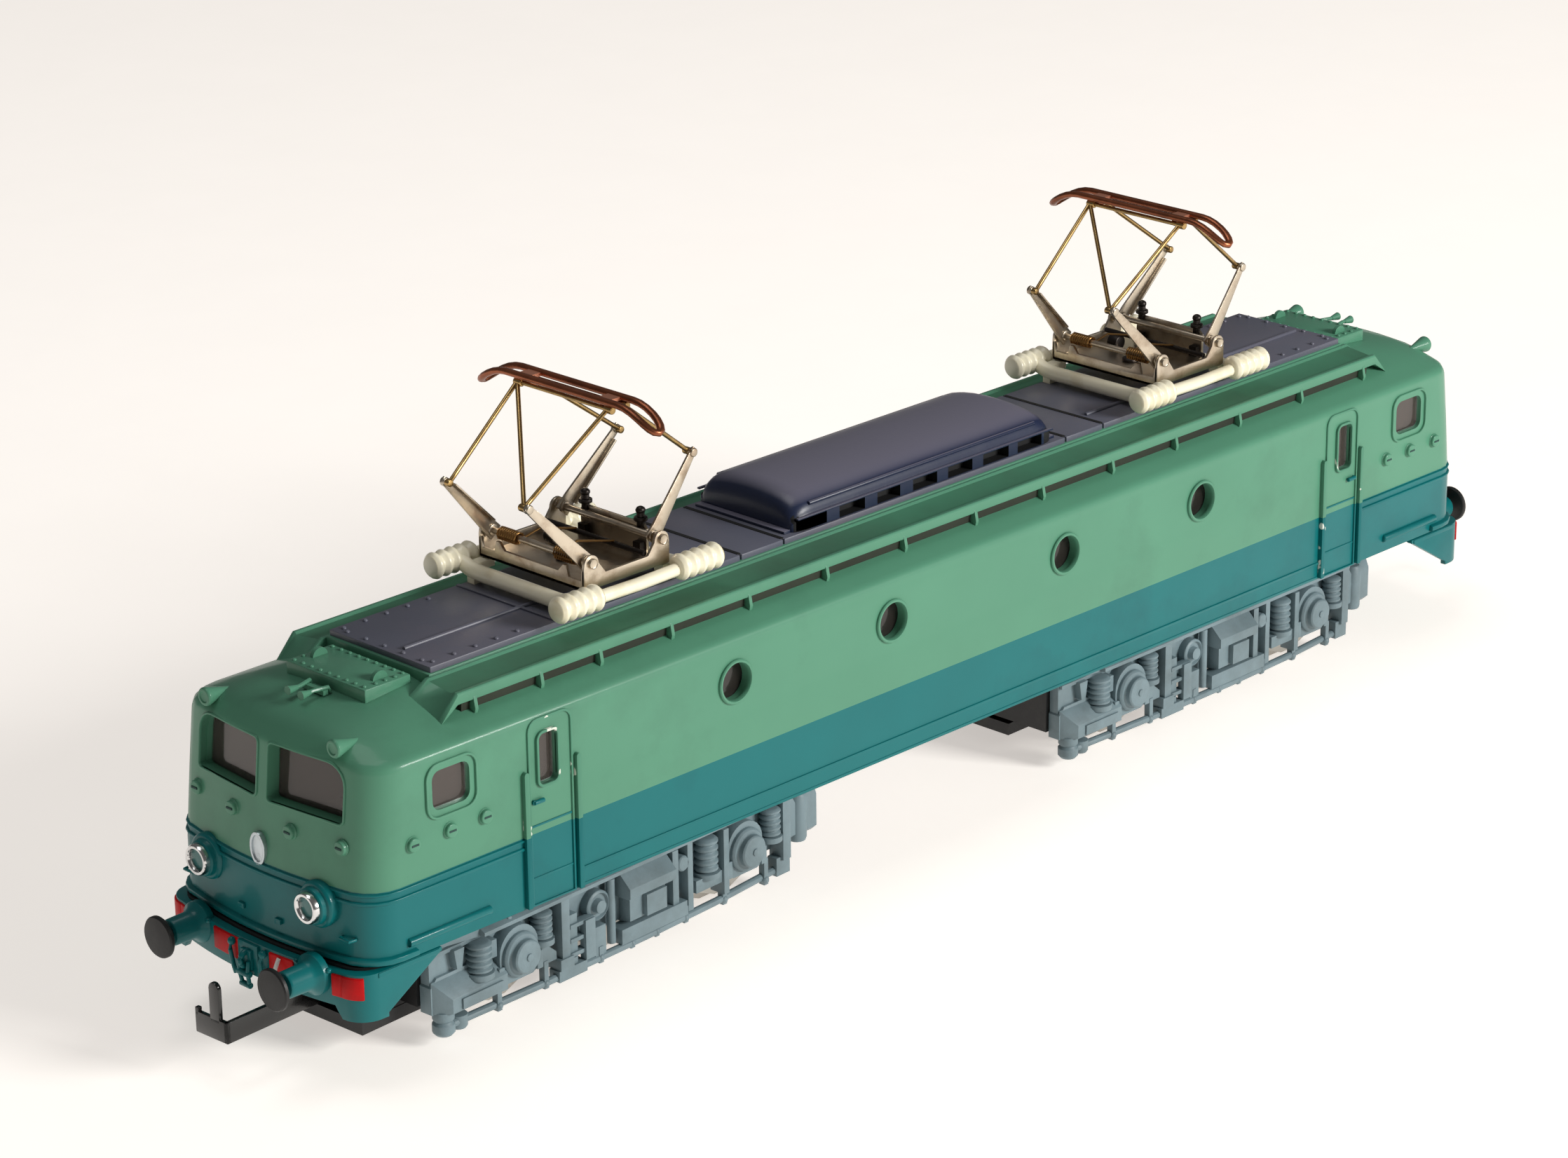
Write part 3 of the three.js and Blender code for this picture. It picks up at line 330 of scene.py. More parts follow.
def surface(name, colour, rough=0.45, metal=0.0, coat=0.0, mottle=0.10, grain=0.03, grain_scale=2500,
            grime=None, grime_amount=0.0, grime_scale=90, chips=None, chip_level=0.72, chip_scale=420,
            streak=0.0,
            top_sheen=None, coat_rough=0.22, gloss=0.5):
    """A painted, moulded or metal surface: mottled colour, settled grime, chips or tarnish, and fine grain.

    Top sheen is a painted sheen: a second, lighter colour on the faces that look upwards.
    """
    mat = bpy.data.materials.new(name)
    mat.use_nodes = True
    tree = mat.node_tree
    add, link = tree.nodes.new, tree.links.new
    bsdf = tree.nodes["Principled BSDF"]
    coords = add("ShaderNodeTexCoord")

    def noise(scale, detail=4.0, roughness=0.55, stretch=None):
        node = add("ShaderNodeTexNoise")
        node.inputs["Scale"].default_value = scale
        node.inputs["Detail"].default_value = detail
        node.inputs["Roughness"].default_value = roughness
        if stretch:
            mapping = add("ShaderNodeMapping")
            mapping.inputs["Scale"].default_value = stretch
            link(coords.outputs["Object"], mapping.inputs["Vector"])
            link(mapping.outputs["Vector"], node.inputs["Vector"])
        else:
            link(coords.outputs["Object"], node.inputs["Vector"])
        return node.outputs["Fac"]

    def ramp(value, low, high):
        node = add("ShaderNodeMapRange")
        node.inputs["From Min"].default_value = low
        node.inputs["From Max"].default_value = high
        link(value, node.inputs["Value"])
        return node.outputs["Result"]

    def mix(factor, a, b):
        node = add("ShaderNodeMix")
        node.data_type = "RGBA"
        link(factor, node.inputs["Factor"])
        for value, socket in ((a, node.inputs[6]), (b, node.inputs[7])):
            if isinstance(value, tuple):
                socket.default_value = value
            else:
                link(value, socket)
        return node.outputs[2]

    base = mix(ramp(noise(55, 5), 0.3, 0.7), shade(colour, 1 - mottle), shade(colour, 1 + mottle))
    rough_out = add("ShaderNodeMapRange")
    rough_out.inputs["To Min"].default_value = max(0.02, rough - 0.07)
    rough_out.inputs["To Max"].default_value = min(1.0, rough + 0.09)
    link(noise(260, 6), rough_out.inputs["Value"])
    if streak:
        base = mix(ramp(noise(300, 3, 0.5, (1.0, 1.0, 0.06)), 0.52, 0.80 + (1 - streak)), base,
                   shade(colour, 0.55))
    if grime:
        base = mix(ramp(noise(grime_scale, 8, 0.65), 0.62 - 0.25 * grime_amount, 0.80), base, grime)
    if chips:
        mask = ramp(noise(chip_scale, 3, 0.5), chip_level, chip_level + 0.015)
        base = mix(mask, base, chips)
    # painted sheen: faces that look upwards are blended towards the sheen colour
    if top_sheen:
        facing = add("ShaderNodeSeparateXYZ")
        link(coords.outputs["Normal"], facing.inputs["Vector"])
        base = mix(ramp(facing.outputs["Z"], 0.70, 1.0), base, top_sheen)
    link(base, bsdf.inputs["Base Color"])
    link(rough_out.outputs["Result"], bsdf.inputs["Roughness"])
    bsdf.inputs["Metallic"].default_value = metal
    bsdf.inputs["Specular IOR Level"].default_value = gloss
    if coat:
        bsdf.inputs["Coat Weight"].default_value = coat
        bsdf.inputs["Coat Roughness"].default_value = coat_rough
    if grain:
        bump = add("ShaderNodeBump")
        bump.inputs["Strength"].default_value = grain * 4
        bump.inputs["Distance"].default_value = 0.00005
        link(noise(grain_scale, 3), bump.inputs["Height"])
        link(bump.outputs["Normal"], bsdf.inputs["Normal"])
    return mat


GREEN = surface("paint_light_green", srgb(82, 138, 112), 0.42, coat=0.22, coat_rough=0.12, gloss=0.2,
                mottle=0.04,
                grime=srgb(70, 116, 94), grime_amount=0.4, grime_scale=30, grain=0.02)
TEAL = surface("paint_dark_green", srgb(2, 104, 106), 0.42, coat=0.22, coat_rough=0.12, gloss=0.2,
               mottle=0.05,
               grime=srgb(0, 84, 88), grime_amount=0.4, grime_scale=30, grain=0.02)
ROOF = surface("roof_blue_grey", srgb(92, 94, 108), 0.40, mottle=0.08, grime=srgb(104, 98, 108),
               grime_amount=0.6,
               grime_scale=45, grain=0.05)
# The vent's lighter upward faces are a painted sheen, the bright backdrop's reflection painted in.
VENT = surface("vent_dark_blue", srgb(18, 30, 60), 0.36, mottle=0.10, grime=srgb(36, 44, 66),
               grime_amount=0.5,
               grime_scale=60, grain=0.05, top_sheen=srgb(110, 108, 124))
# Near-black for the inside of the body shell: painted shade.
INSIDE_SHADE = surface("inside_painted_shade", srgb(20, 22, 24), 0.8, mottle=0.1)
# Near-black used for dark panel joints and as painted shade in slots, openings and gaps.
SHADE_AND_JOINT_BLACK = surface("painted_shade_and_joint_black", srgb(6, 7, 9), 0.7, mottle=0.1)
PANEL_LINE = surface("panel_line_shadow", srgb(28, 62, 58), 0.7, mottle=0.1)
DUSTY_GREEN = surface("paint_green_grimy", srgb(70, 124, 98), 0.5, gloss=0.2, mottle=0.08,
                      grime=srgb(64, 88, 72),
                      grime_amount=1.0, grime_scale=34, grain=0.03)
# Dark brown-green for the gap under the roof duct fins: painted shade with a dirt tint.
GAP_SHADE_AND_DIRT = surface("gap_painted_shade_and_dirt", srgb(34, 40, 28), 0.8, mottle=0.3)
# Near-white frames at the pane edges: a painted highlight on the glass edges.
PANE_EDGE_HIGHLIGHT = surface("pane_edge_painted_highlight", srgb(196, 204, 200), 0.15, metal=0.9, mottle=0.1)
RED = surface("apron_red", srgb(200, 0, 4), 0.45, gloss=0.2, mottle=0.10, grime=srgb(110, 4, 8),
              grime_amount=0.6)
BLACK = surface("black_plastic", srgb(15, 15, 16), 0.5, mottle=0.2, grain=0.06, grime=srgb(50, 48, 44),
                grime_amount=0.25)
COUPLER_BLACK = surface("coupler_black", srgb(9, 9, 9), 0.24, coat=0.3, coat_rough=0.1, mottle=0.2,
                        grain=0.04)
BOGIE = surface("bogie_grey_blue", srgb(112, 131, 138), 0.50, mottle=0.08, grain=0.10, grain_scale=3500,
                grime=srgb(84, 98, 102), grime_amount=0.8, grime_scale=120, chips=srgb(150, 92, 60),
                chip_level=0.74, chip_scale=160)
SILVER = surface("lamp_silver", srgb(215, 215, 215), 0.16, metal=1.0, mottle=0.06, grime=srgb(120, 120, 120),
                 grime_amount=0.3)
LAMP_FACE = surface("lamp_face", srgb(42, 110, 108), 0.30, coat=0.4, mottle=0.08)
CREAM = surface("insulator_cream", srgb(247, 240, 214), 0.30, coat=0.25, mottle=0.04,
                grime=srgb(222, 204, 160),
                grime_amount=0.35, grime_scale=150)
NICKEL = surface("nickel_tarnished", srgb(196, 184, 166), 0.34, metal=1.0, mottle=0.16, grain=0.05,
                 grime=srgb(128, 100, 74), grime_amount=0.45, grime_scale=220)
BRASS_WIRE = surface("wire_brown_brass", srgb(176, 146, 96), 0.30, metal=1.0, mottle=0.25,
                     grime=srgb(104, 76, 48), grime_amount=0.55, grime_scale=260)
GOLD_WIRE = surface("spring_wire", srgb(168, 128, 78), 0.28, metal=1.0, mottle=0.1)
COPPER = surface("collector_copper", srgb(150, 88, 60), 0.32, metal=0.85, mottle=0.25, grain=0.05,
                 grime=srgb(78, 46, 34), grime_amount=0.7, grime_scale=160)
PALE_COPPER = surface("copper_worn_bright", srgb(206, 140, 112), 0.34, metal=0.7, mottle=0.15)
DARK_STEEL = surface("dark_steel", srgb(60, 56, 54), 0.4, metal=1.0, mottle=0.2)
ZINC = surface("zinc_casting", srgb(132, 134, 138), 0.55, metal=0.9, mottle=0.12, grain=0.12,
               grain_scale=1800)
STEEL = surface("turned_steel", srgb(168, 166, 160), 0.28, metal=1.0, mottle=0.14, grime=srgb(96, 88, 78),
                grime_amount=0.4, grime_scale=260)
BRASS = surface("gear_brass", srgb(190, 150, 84), 0.32, metal=1.0, mottle=0.15)
WINDING = surface("motor_winding", srgb(150, 84, 40), 0.35, metal=0.8, mottle=0.3, streak=0.6)
WHITE_HOSE = surface("hose_white", srgb(228, 228, 224), 0.35, mottle=0.05)
CHIPPED = surface("rim_chipped_paint", srgb(78, 132, 108), 0.42, gloss=0.2, mottle=0.06,
                  chips=srgb(214, 218, 206),
                  chip_level=0.66, chip_scale=260)
TEAL_CHIPPED = surface("bar_chipped_paint", srgb(2, 98, 100), 0.40, gloss=0.2, mottle=0.06,
                       chips=srgb(206, 212, 202),
                       chip_level=0.68, chip_scale=260)
PLATE = surface("badge_silver", srgb(176, 184, 188), 0.28, metal=0.8, mottle=0.25, grain=0.5, grain_scale=700)


def glass(name, tint, rough):
    mat = bpy.data.materials.new(name)
    mat.use_nodes = True
    tree = mat.node_tree
    bsdf = tree.nodes["Principled BSDF"]
    coords = tree.nodes.new("ShaderNodeTexCoord")
    smear = tree.nodes.new("ShaderNodeTexNoise")
    smear.inputs["Scale"].default_value = 180
    smear.inputs["Detail"].default_value = 5
    spread = tree.nodes.new("ShaderNodeMapRange")
    spread.inputs["To Min"].default_value = max(0.0, rough - 0.03)
    spread.inputs["To Max"].default_value = rough + 0.10
    tree.links.new(coords.outputs["Object"], smear.inputs["Vector"])
    tree.links.new(smear.outputs["Fac"], spread.inputs["Value"])
    tree.links.new(spread.outputs["Result"], bsdf.inputs["Roughness"])
    bsdf.inputs["Base Color"].default_value = tint
    bsdf.inputs["Transmission Weight"].default_value = 0.85
    bsdf.inputs["IOR"].default_value = 1.46
    return mat


GLASS = glass("cab_glazing", srgb(104, 96, 92), 0.05)
PANE = glass("window_pane", srgb(150, 138, 132), 0.04)


# ---------------------------------------------------------------- camera, light and floor

CAMERA_PLACE = (-384.6, -361.9, 227.3)
LIGHT_AIM = (0, 0, 0.02)
KEY_POWER = 10.5
TOP_POWER = 1.6
FILL_COLOUR = (1.0, 0.98, 0.96, 1)
FILL_STRENGTH = 0.12
TABLE_REACH = 3000
TABLE_THICKNESS = 6


def make_camera():
    azimuth, elevation, roll = math.radians(-45.46), math.radians(20.53), math.radians(-0.67)
    back = Vector((math.sin(azimuth) * math.cos(elevation), -math.cos(azimuth) * math.cos(elevation),
                   math.sin(elevation)))
    right = Vector((math.cos(azimuth), math.sin(azimuth), 0))
    up = back.cross(right)
    tilted_right = right * math.cos(roll) + up * math.sin(roll)
    tilted_up = up * math.cos(roll) - right * math.sin(roll)
    data = bpy.data.cameras.new("camera")
    data.lens = 102.86
    data.sensor_width = 36
    data.shift_x = -0.0005
    data.shift_y = -0.0030
    data.clip_start = 0.01
    data.clip_end = 20
    camera = bpy.data.objects.new("camera", data)
    turn = Matrix((tilted_right, tilted_up, back)).transposed().to_4x4()
    camera.matrix_world = Matrix.Translation(Vector(CAMERA_PLACE) * MM) @ turn
    bpy.context.scene.collection.objects.link(camera)
    bpy.context.scene.camera = camera


def area_light(name, place, aim, size, power, colour):
    data = bpy.data.lights.new(name, "AREA")
    data.shape = "RECTANGLE"
    data.size, data.size_y = size
    data.energy = power
    data.color = colour
    lamp = bpy.data.objects.new(name, data)
    lamp.location = place
    lamp.rotation_euler = (Vector(aim) - Vector(place)).to_track_quat("-Z", "Y").to_euler()
    bpy.context.scene.collection.objects.link(lamp)


def make_stage():
    scene = bpy.context.scene
    scene.view_settings.view_transform = "Standard"
    world = bpy.data.worlds.new("studio")
    scene.world = world
    world.use_nodes = True
    world.node_tree.nodes["Background"].inputs["Color"].default_value = FILL_COLOUR
    world.node_tree.nodes["Background"].inputs["Strength"].default_value = FILL_STRENGTH
    area_light("key", (0.34, -0.92, 0.42), LIGHT_AIM, (0.36, 0.26), KEY_POWER, (1.0, 0.99, 0.96))
    area_light("top", (-0.10, 0.15, 0.95), LIGHT_AIM, (0.5, 0.4), TOP_POWER, (1.0, 1.0, 1.0))
    cloth = surface("pale_table", srgb(250, 246, 241), 0.8, mottle=0.012, grain=0.03, grain_scale=300)
    glow = cloth.node_tree.nodes["Principled BSDF"]
    glow.inputs["Emission Color"].default_value = srgb(255, 248, 242)
    glow.inputs["Emission Strength"].default_value = 0.52
    floor = Solid().add(block(-TABLE_REACH, TABLE_REACH, -TABLE_REACH, TABLE_REACH, -TABLE_THICKNESS, 0))
    make("table_top", floor, [cloth])


make_camera()
make_stage()


# ---------------------------------------------------------------- body shell

RINGS = [(14.4, 17.15, 101.0), (21.0, 17.15, 101.0), (BAND_Z, 17.15, 100.77), (26.6, 17.15, 100.42),
         (30.0, 17.15, 100.05), (36.6, 17.15, 99.36), (37.1, 17.12, 99.3), (37.45, 16.98, 99.2),
         (37.75, 16.68, 99.0), (38.0, 16.2, 98.75), (38.35, 15.4, 98.4), (38.8, 14.5, 98.0),
         (39.3, 13.3, 97.4),
         (39.9, 11.6, 96.2), (40.4, 10.1, 93.8), (40.9, 8.6, 89.6), (41.5, 6.6, 84.5)]


def plan_outline(half_length, half_width, corner, face_steps=10, corner_steps=5):
    """The body seen from above: bowed ends, straight sides and rounded corners, counter-clockwise from +X."""
    radius = BODY["face_radius"]
    reach = half_width - corner
    sag = radius - math.sqrt(radius * radius - reach * reach)
    quarter = [(half_length - radius + math.sqrt(radius * radius - y * y), y)
               for y in (reach * k / face_steps for k in range(face_steps + 1))]
    centre_x = half_length - sag - corner
    for k in range(1, corner_steps + 1):
        angle = math.pi / 2 * k / corner_steps
        quarter.append((centre_x + corner * math.cos(angle), reach + corner * math.sin(angle)))
    half = quarter + [(-x, y) for x, y in reversed(quarter)]
    return half[:-1] + [(x, -y) for x, y in reversed(half)][:-1]


def corner_at(z, half_width):
    return min(4.5 + max(0, z - 36) * 0.55, half_width * 0.6)


def end_x(y, z, end):
    """Where the cab face is, for a point y across and z up."""
    half = half_length_at(z)
    radius = BODY["face_radius"]
    return end * (half - radius + math.sqrt(radius * radius - y * y))


def half_length_at(z):
    for (z0, _, l0), (z1, _, l1) in zip(RINGS, RINGS[1:]):
        if z0 <= z <= z1:
            return l0 + (l1 - l0) * (z - z0) / (z1 - z0)
    return RINGS[-1][2] if z > RINGS[-1][0] else RINGS[0][2]


def roof_z(y):
    """Height of the roof at the middle of the body, y across."""
    for (z0, w0, _), (z1, w1, _) in zip(RINGS, RINGS[1:]):
        if w1 <= abs(y) <= w0 and w0 != w1:
            return z0 + (z1 - z0) * (w0 - abs(y)) / (w0 - w1)
    return RINGS[-1][0]


def screen_radii(side):
    """Windscreen corners: only the upper outer one is well rounded."""
    return [0.5, 0.5, 2.4, 0.5] if side > 0 else [0.5, 0.5, 0.5, 2.4]


def window_cutters():
    cutters = Solid()
    for end in ENDS:
        for side in SIDES:
            y0, y1 = sorted((side * WINDSCREEN["inner"], side * WINDSCREEN["outer"]))
            cutters.add(extrude("x", rounded(y0, y1, WINDSCREEN["bottom"], WINDSCREEN["top"],
                                             screen_radii(side), 5), end * 90, end * 105))
    for side in SIDES:
        y0, y1 = sorted((side * 10, side * 20))
        for end in ENDS:
            x0, x1 = sorted((end * CAB_WINDOW["near"], end * CAB_WINDOW["far"]))
            cutters.add(extrude("y", rounded(x0, x1, CAB_WINDOW["bottom"], CAB_WINDOW["top"], [1.1] * 4, 4),
                                y0, y1))
            x0, x1 = sorted((end * DOOR_WINDOW["near"], end * DOOR_WINDOW["far"]))
            cutters.add(extrude("y", rounded(x0, x1, DOOR_WINDOW["bottom"], DOOR_WINDOW["top"], [0.7] * 4,
                                             4), y0, y1))
        for x in PORTHOLE_XS:
            cutters.add(rod("y", 2.35, y0, y1, (x, 0, PORTHOLE_Z), 28))
    return cutters


def ring_at(z, half_width, half_length):
    return [(x, y, z) for x, y in plan_outline(half_length, half_width, corner_at(z, half_width))]


def body_shell():
    outer = [ring_at(z, w, l) for z, w, l in RINGS]
    inner_rows = [(40.2, 6.4, 83.0), (39.4, 11.0, 92.0), (37.6, 15.0, 97.2), (36.4, 15.9, 97.8),
                  (14.4, 15.95, 99.8)]
    inner = [[(x, y, z) for x, y in plan_outline(l, w, 3.4)] for z, w, l in inner_rows]
    shell = Solid()
    verts, faces = loft(outer + inner, cap_start=False, cap_end=False)
    count = len(outer[0])
    top = len(outer) - 1
    middle = [f for f in faces if not (top * count <= min(f) < (top + 1) * count and max(f) < (top + 2)
                                       * count
                                      and max(f) >= (top + 1) * count)]
    middle.append(tuple(range(top * count, (top + 1) * count)))
    middle.append(tuple(range((top + 1) * count, (top + 2) * count)))
    last = (len(outer) + len(inner) - 1) * count
    middle += [(i, (i + 1) % count, last + (i + 1) % count, last + i) for i in range(count)]
    shell.add((verts, middle))
    body = make("body_shell_moulding", shell, [GREEN, TEAL, INSIDE_SHADE], merge=0.0)
    carve(body, window_cutters(), smooth=24)
    for poly in body.data.polygons:
        centre = poly.center / MM
        normal = poly.normal
        # Inner faces of the shell get the near-black material: painted shade inside the body.
        inside = abs(centre.y) < 15.98 and abs(centre.x) < 97.3 and centre.z < 40.3
        outward = Vector((centre.x, centre.y, 0)).dot(normal) if abs(normal.z) < 0.9 else 1
        if inside and (outward < 0 or normal.z < -0.5):
            poly.material_index = 2
        elif centre.z < BAND_Z:
            poly.material_index = 1
        else:
            poly.material_index = 0
    ride(body, ROOT, ["body_shell"])


body_shell()


# ---------------------------------------------------------------- body details

def face_place(end, lift=0.0):
    """Places (across, up, height) on the bowed and leaning cab face."""
    def place(y, z, h):
        slope = y / BODY["face_radius"]
        return (end * (end_x(y, z, 1) + (h + lift) * math.cos(slope)), y + (h + lift) * math.sin(slope), z)
    return place


def side_place(side):
    return lambda x, z, h: (x, side * (BODY["half_width"] + h), z)


def rim(outline_box, radii, width, place, low, high, steps=5):
    """A raised frame round a rounded opening; outline_box is (u0, u1, v0, v1) of the opening."""
    u0, u1, v0, v1 = outline_box
    inner = rounded(u0, u1, v0, v1, radii, steps)
    outer = rounded(u0 - width, u1 + width, v0 - width, v1 + width, [r + width for r in radii], steps)
    return ring_frame(outer, inner, place, low, high)


def belt(end, z, reach, proud, height):
    """A raised rib that wraps round one cab at height z, back to x = reach on both sides."""
    half = half_length_at(z)
    inner = plan_outline(half - 0.3, BODY["half_width"] - 0.3, 4.3)
    outer = plan_outline(half + proud, BODY["half_width"] + proud, 4.5 + proud)
    pairs = [(i, o) for i, o in zip(inner, outer) if end * o[0] > reach]
    if end < 0:
        pairs.sort(key=lambda p: math.atan2(p[1][1], -p[1][0]))
    else:
        pairs.sort(key=lambda p: math.atan2(p[1][1], p[1][0]))
    (i0, o0), (i1, o1) = pairs[0], pairs[-1]
    pairs.insert(0, ((end * reach, i0[1]), (end * reach, o0[1])))
    pairs.append(((end * reach, i1[1]), (end * reach, o1[1])))
    verts, faces = [], []
    for i, o in pairs:
        verts += [(i[0], i[1], z - height), (o[0], o[1], z - height * 0.55), (o[0], o[1], z + height * 0.55),
                  (i[0], i[1], z + height)]
    for k in range(len(pairs) - 1):
        a, b = 4 * k, 4 * (k + 1)
        for m in range(4):
            faces.append((a + m, a + (m + 1) % 4, b + (m + 1) % 4, b + m))
    last = 4 * (len(pairs) - 1)
    faces += [(3, 2, 1, 0), (last, last + 1, last + 2, last + 3)]
    return verts, faces


def stud(axis, centre, out, radius=0.86, height=0.72):
    """A round lamp socket with a slotted face, standing out along an axis."""
    profile = [(0, 0), (radius * 1.15, 0), (radius * 1.15, height * 0.3), (radius, height * 0.38),
               (radius, height * 0.85),
               (radius * 0.85, height), (0, height)]
    return lathe(axis, [(r, a * out) for r, a in profile], centre, 16)


def cab_details(end):
    name = 1 if end < 0 else 2
    ribs = Solid()
    for z, height in ((BAND_Z - 0.3, 0.22), (21.9, 0.30)):
        ribs.add(belt(end, z, 76.3, 0.24, height))
    ribs.add(belt(end, 14.95, 93.0, 0.55, 0.55))
    ride(make(f"cab_ribs_{name}", ribs, [TEAL], smooth=40, bevel=0.08), ROOT)
    rims = Solid()
    for side in SIDES:
        y0, y1 = sorted((side * WINDSCREEN["inner"], side * WINDSCREEN["outer"]))
        rims.add(rim((y0, y1, WINDSCREEN["bottom"], WINDSCREEN["top"]), screen_radii(side), 0.3,
                     face_place(end), -0.3, 0.16))
        x0, x1 = sorted((end * CAB_WINDOW["near"], end * CAB_WINDOW["far"]))
        rims.add(rim((x0 - 0.75, x1 + 0.75, 29.9, 36.0), [1.5] * 4, 0.3, side_place(side), -0.2, 0.3))
    ride(make(f"cab_window_rims_{name}", rims, [GREEN], smooth=40, bevel=0.12), ROOT)
    reveal = Solid()
    for side in SIDES:
        y0, y1 = sorted((side * 0.95, side * 12.45))
        reveal.add(rim((y0, y1, 30.55, 37.25), screen_radii(side), 0.5, face_place(end), -2.0, -1.0))
    ride(make(f"windscreen_reveals_{name}", reveal, [GREEN], smooth=40), ROOT)
    panes, edges = Solid(), Solid()
    for side in SIDES:
        y0, y1 = sorted((side * 0.7, side * 12.7))
        outline = rounded(y0, y1, 30.3, 37.5, screen_radii(side), 5)
        place = face_place(end)
        panes.add(loft([[place(y, z, h) for y, z in outline] for h in (-1.6, -2.1)]))
        x0, x1 = sorted((end * 84.2, end * 89.9))
        outline = rounded(x0, x1, 30.5, 35.4, [0.8] * 4, 4)
        panes.add(extrude("y", outline, side * 16.0, side * 16.45))
        # Thin bright frames round the side panes: painted highlight along the pane edges.
        edges.add(rim((x0 + 0.3, x1 - 0.3, 30.8, 35.1), [0.7] * 4, 0.2, side_place(side), -1.0, -0.58))
        x0, x1 = sorted((end * 71.2, end * 74.2))
        panes.add(extrude("y", rounded(x0, x1, 28.8, 35.2, [0.7] * 4, 4), side * 16.0, side * 16.5))
        edges.add(rim((x0 + 0.28, x1 - 0.28, 29.1, 34.9), [0.6] * 4, 0.14, side_place(side), -1.0, -0.5))
    ride(make(f"cab_panes_{name}", panes, [PANE], smooth=40), ROOT, [f"windscreen_{name}"])
    ride(make(f"cab_pane_edges_{name}", edges, [PANE_EDGE_HIGHLIGHT], smooth=40), ROOT)
    studs = Solid()
    for y in FRONT_STUD_YS:
        studs.add(stud("x", (end_x(y, 28, end) - end * 0.15, y, 28.0), end))
    for side in SIDES:
        for x in SIDE_STUD_XS:
            studs.add(stud("y", (end * x, side * 17.0, 27.8), side))
    slots = Solid()
    for y in FRONT_STUD_YS:
        x = end_x(y, 28, end) + end * 0.60
        slots.add(block(x - 0.08, x + 0.08, y - 0.5, y + 0.5, 27.9, 28.12))
    for side in SIDES:
        for x in SIDE_STUD_XS:
            slots.add(block(end * x - 0.5, end * x + 0.5, side * 17.6, side * 17.78, 27.7, 27.92))
    ride(make(f"lamp_sockets_{name}", studs, [GREEN], smooth=40, bevel=0.06), ROOT)
    ride(make(f"lamp_socket_slots_{name}", slots, [PANEL_LINE]), ROOT)
    markers = Solid()
    for side in SIDES:
        profile = [(0, 94.6), (0.2, 94.6), (0.62, 96.4), (1.02, 97.9), (1.12, 98.4), (1.0, 98.62),
                   (0.7, 98.66), (0.62, 98.5),
                   (0, 98.5)]
        markers.add(lathe("x", [(r, end * a) for r, a in profile], (0, side * 11.1, 39.1), 20))
    ride(make(f"marker_lamps_{name}", markers, [GREEN], smooth=40, bevel=0.05), ROOT)
    plate = Solid()
    x = end_x(0, 24.7, end)
    oval = oval_points(0, 24.7, 1.1, 1.75)
    ring = oval_points(0, 24.7, 1.3, 2.0)
    plate.add(extrude("x", oval, x - end * 0.3, x + end * 0.28))
    ring_in = oval_points(0, 24.7, 0.95, 1.6)
    plate.add(ring_frame(ring, ring_in, lambda y, z, h: (x + end * h, y, z), -0.3, 0.42))
    ride(make(f"oval_plate_{name}", plate, [PLATE], smooth=40, bevel=0.08), ROOT)
    handles = Solid()
    for side in SIDES:
        y = side * 13.6
        hx = end_x(y, 18, 1)
        handles.add(tube([(end * (hx - 0.2), y - 0.9, 17.6), (end * (hx + 0.75), y - 0.8, 17.6),
                          (end * (hx + 0.75), y + 0.8, 17.6), (end * (hx - 0.2), y + 0.9, 17.6)], 0.2, 8))
        y = side * 3.2
        hx = end_x(y, 18, 1)
        handles.add(block(end * (hx - 0.2), end * (hx + 0.35), y - 0.5, y + 0.5, 16.6, 17.2))
    ride(make(f"cab_handles_{name}", handles, [TEAL], smooth=40, bevel=0.05), ROOT)


def split_colour(obj, height):
    """Gives everything under a height the object's second material."""
    work = bmesh.new()
    work.from_mesh(obj.data)
    geometry = work.verts[:] + work.edges[:] + work.faces[:]
    bmesh.ops.bisect_plane(work, geom=geometry, plane_co=(0, 0, height * MM), plane_no=(0, 0, 1))
    for face in work.faces:
        face.material_index = 1 if face.calc_center_median().z < height * MM else 0
    work.to_mesh(obj.data)
    work.free()


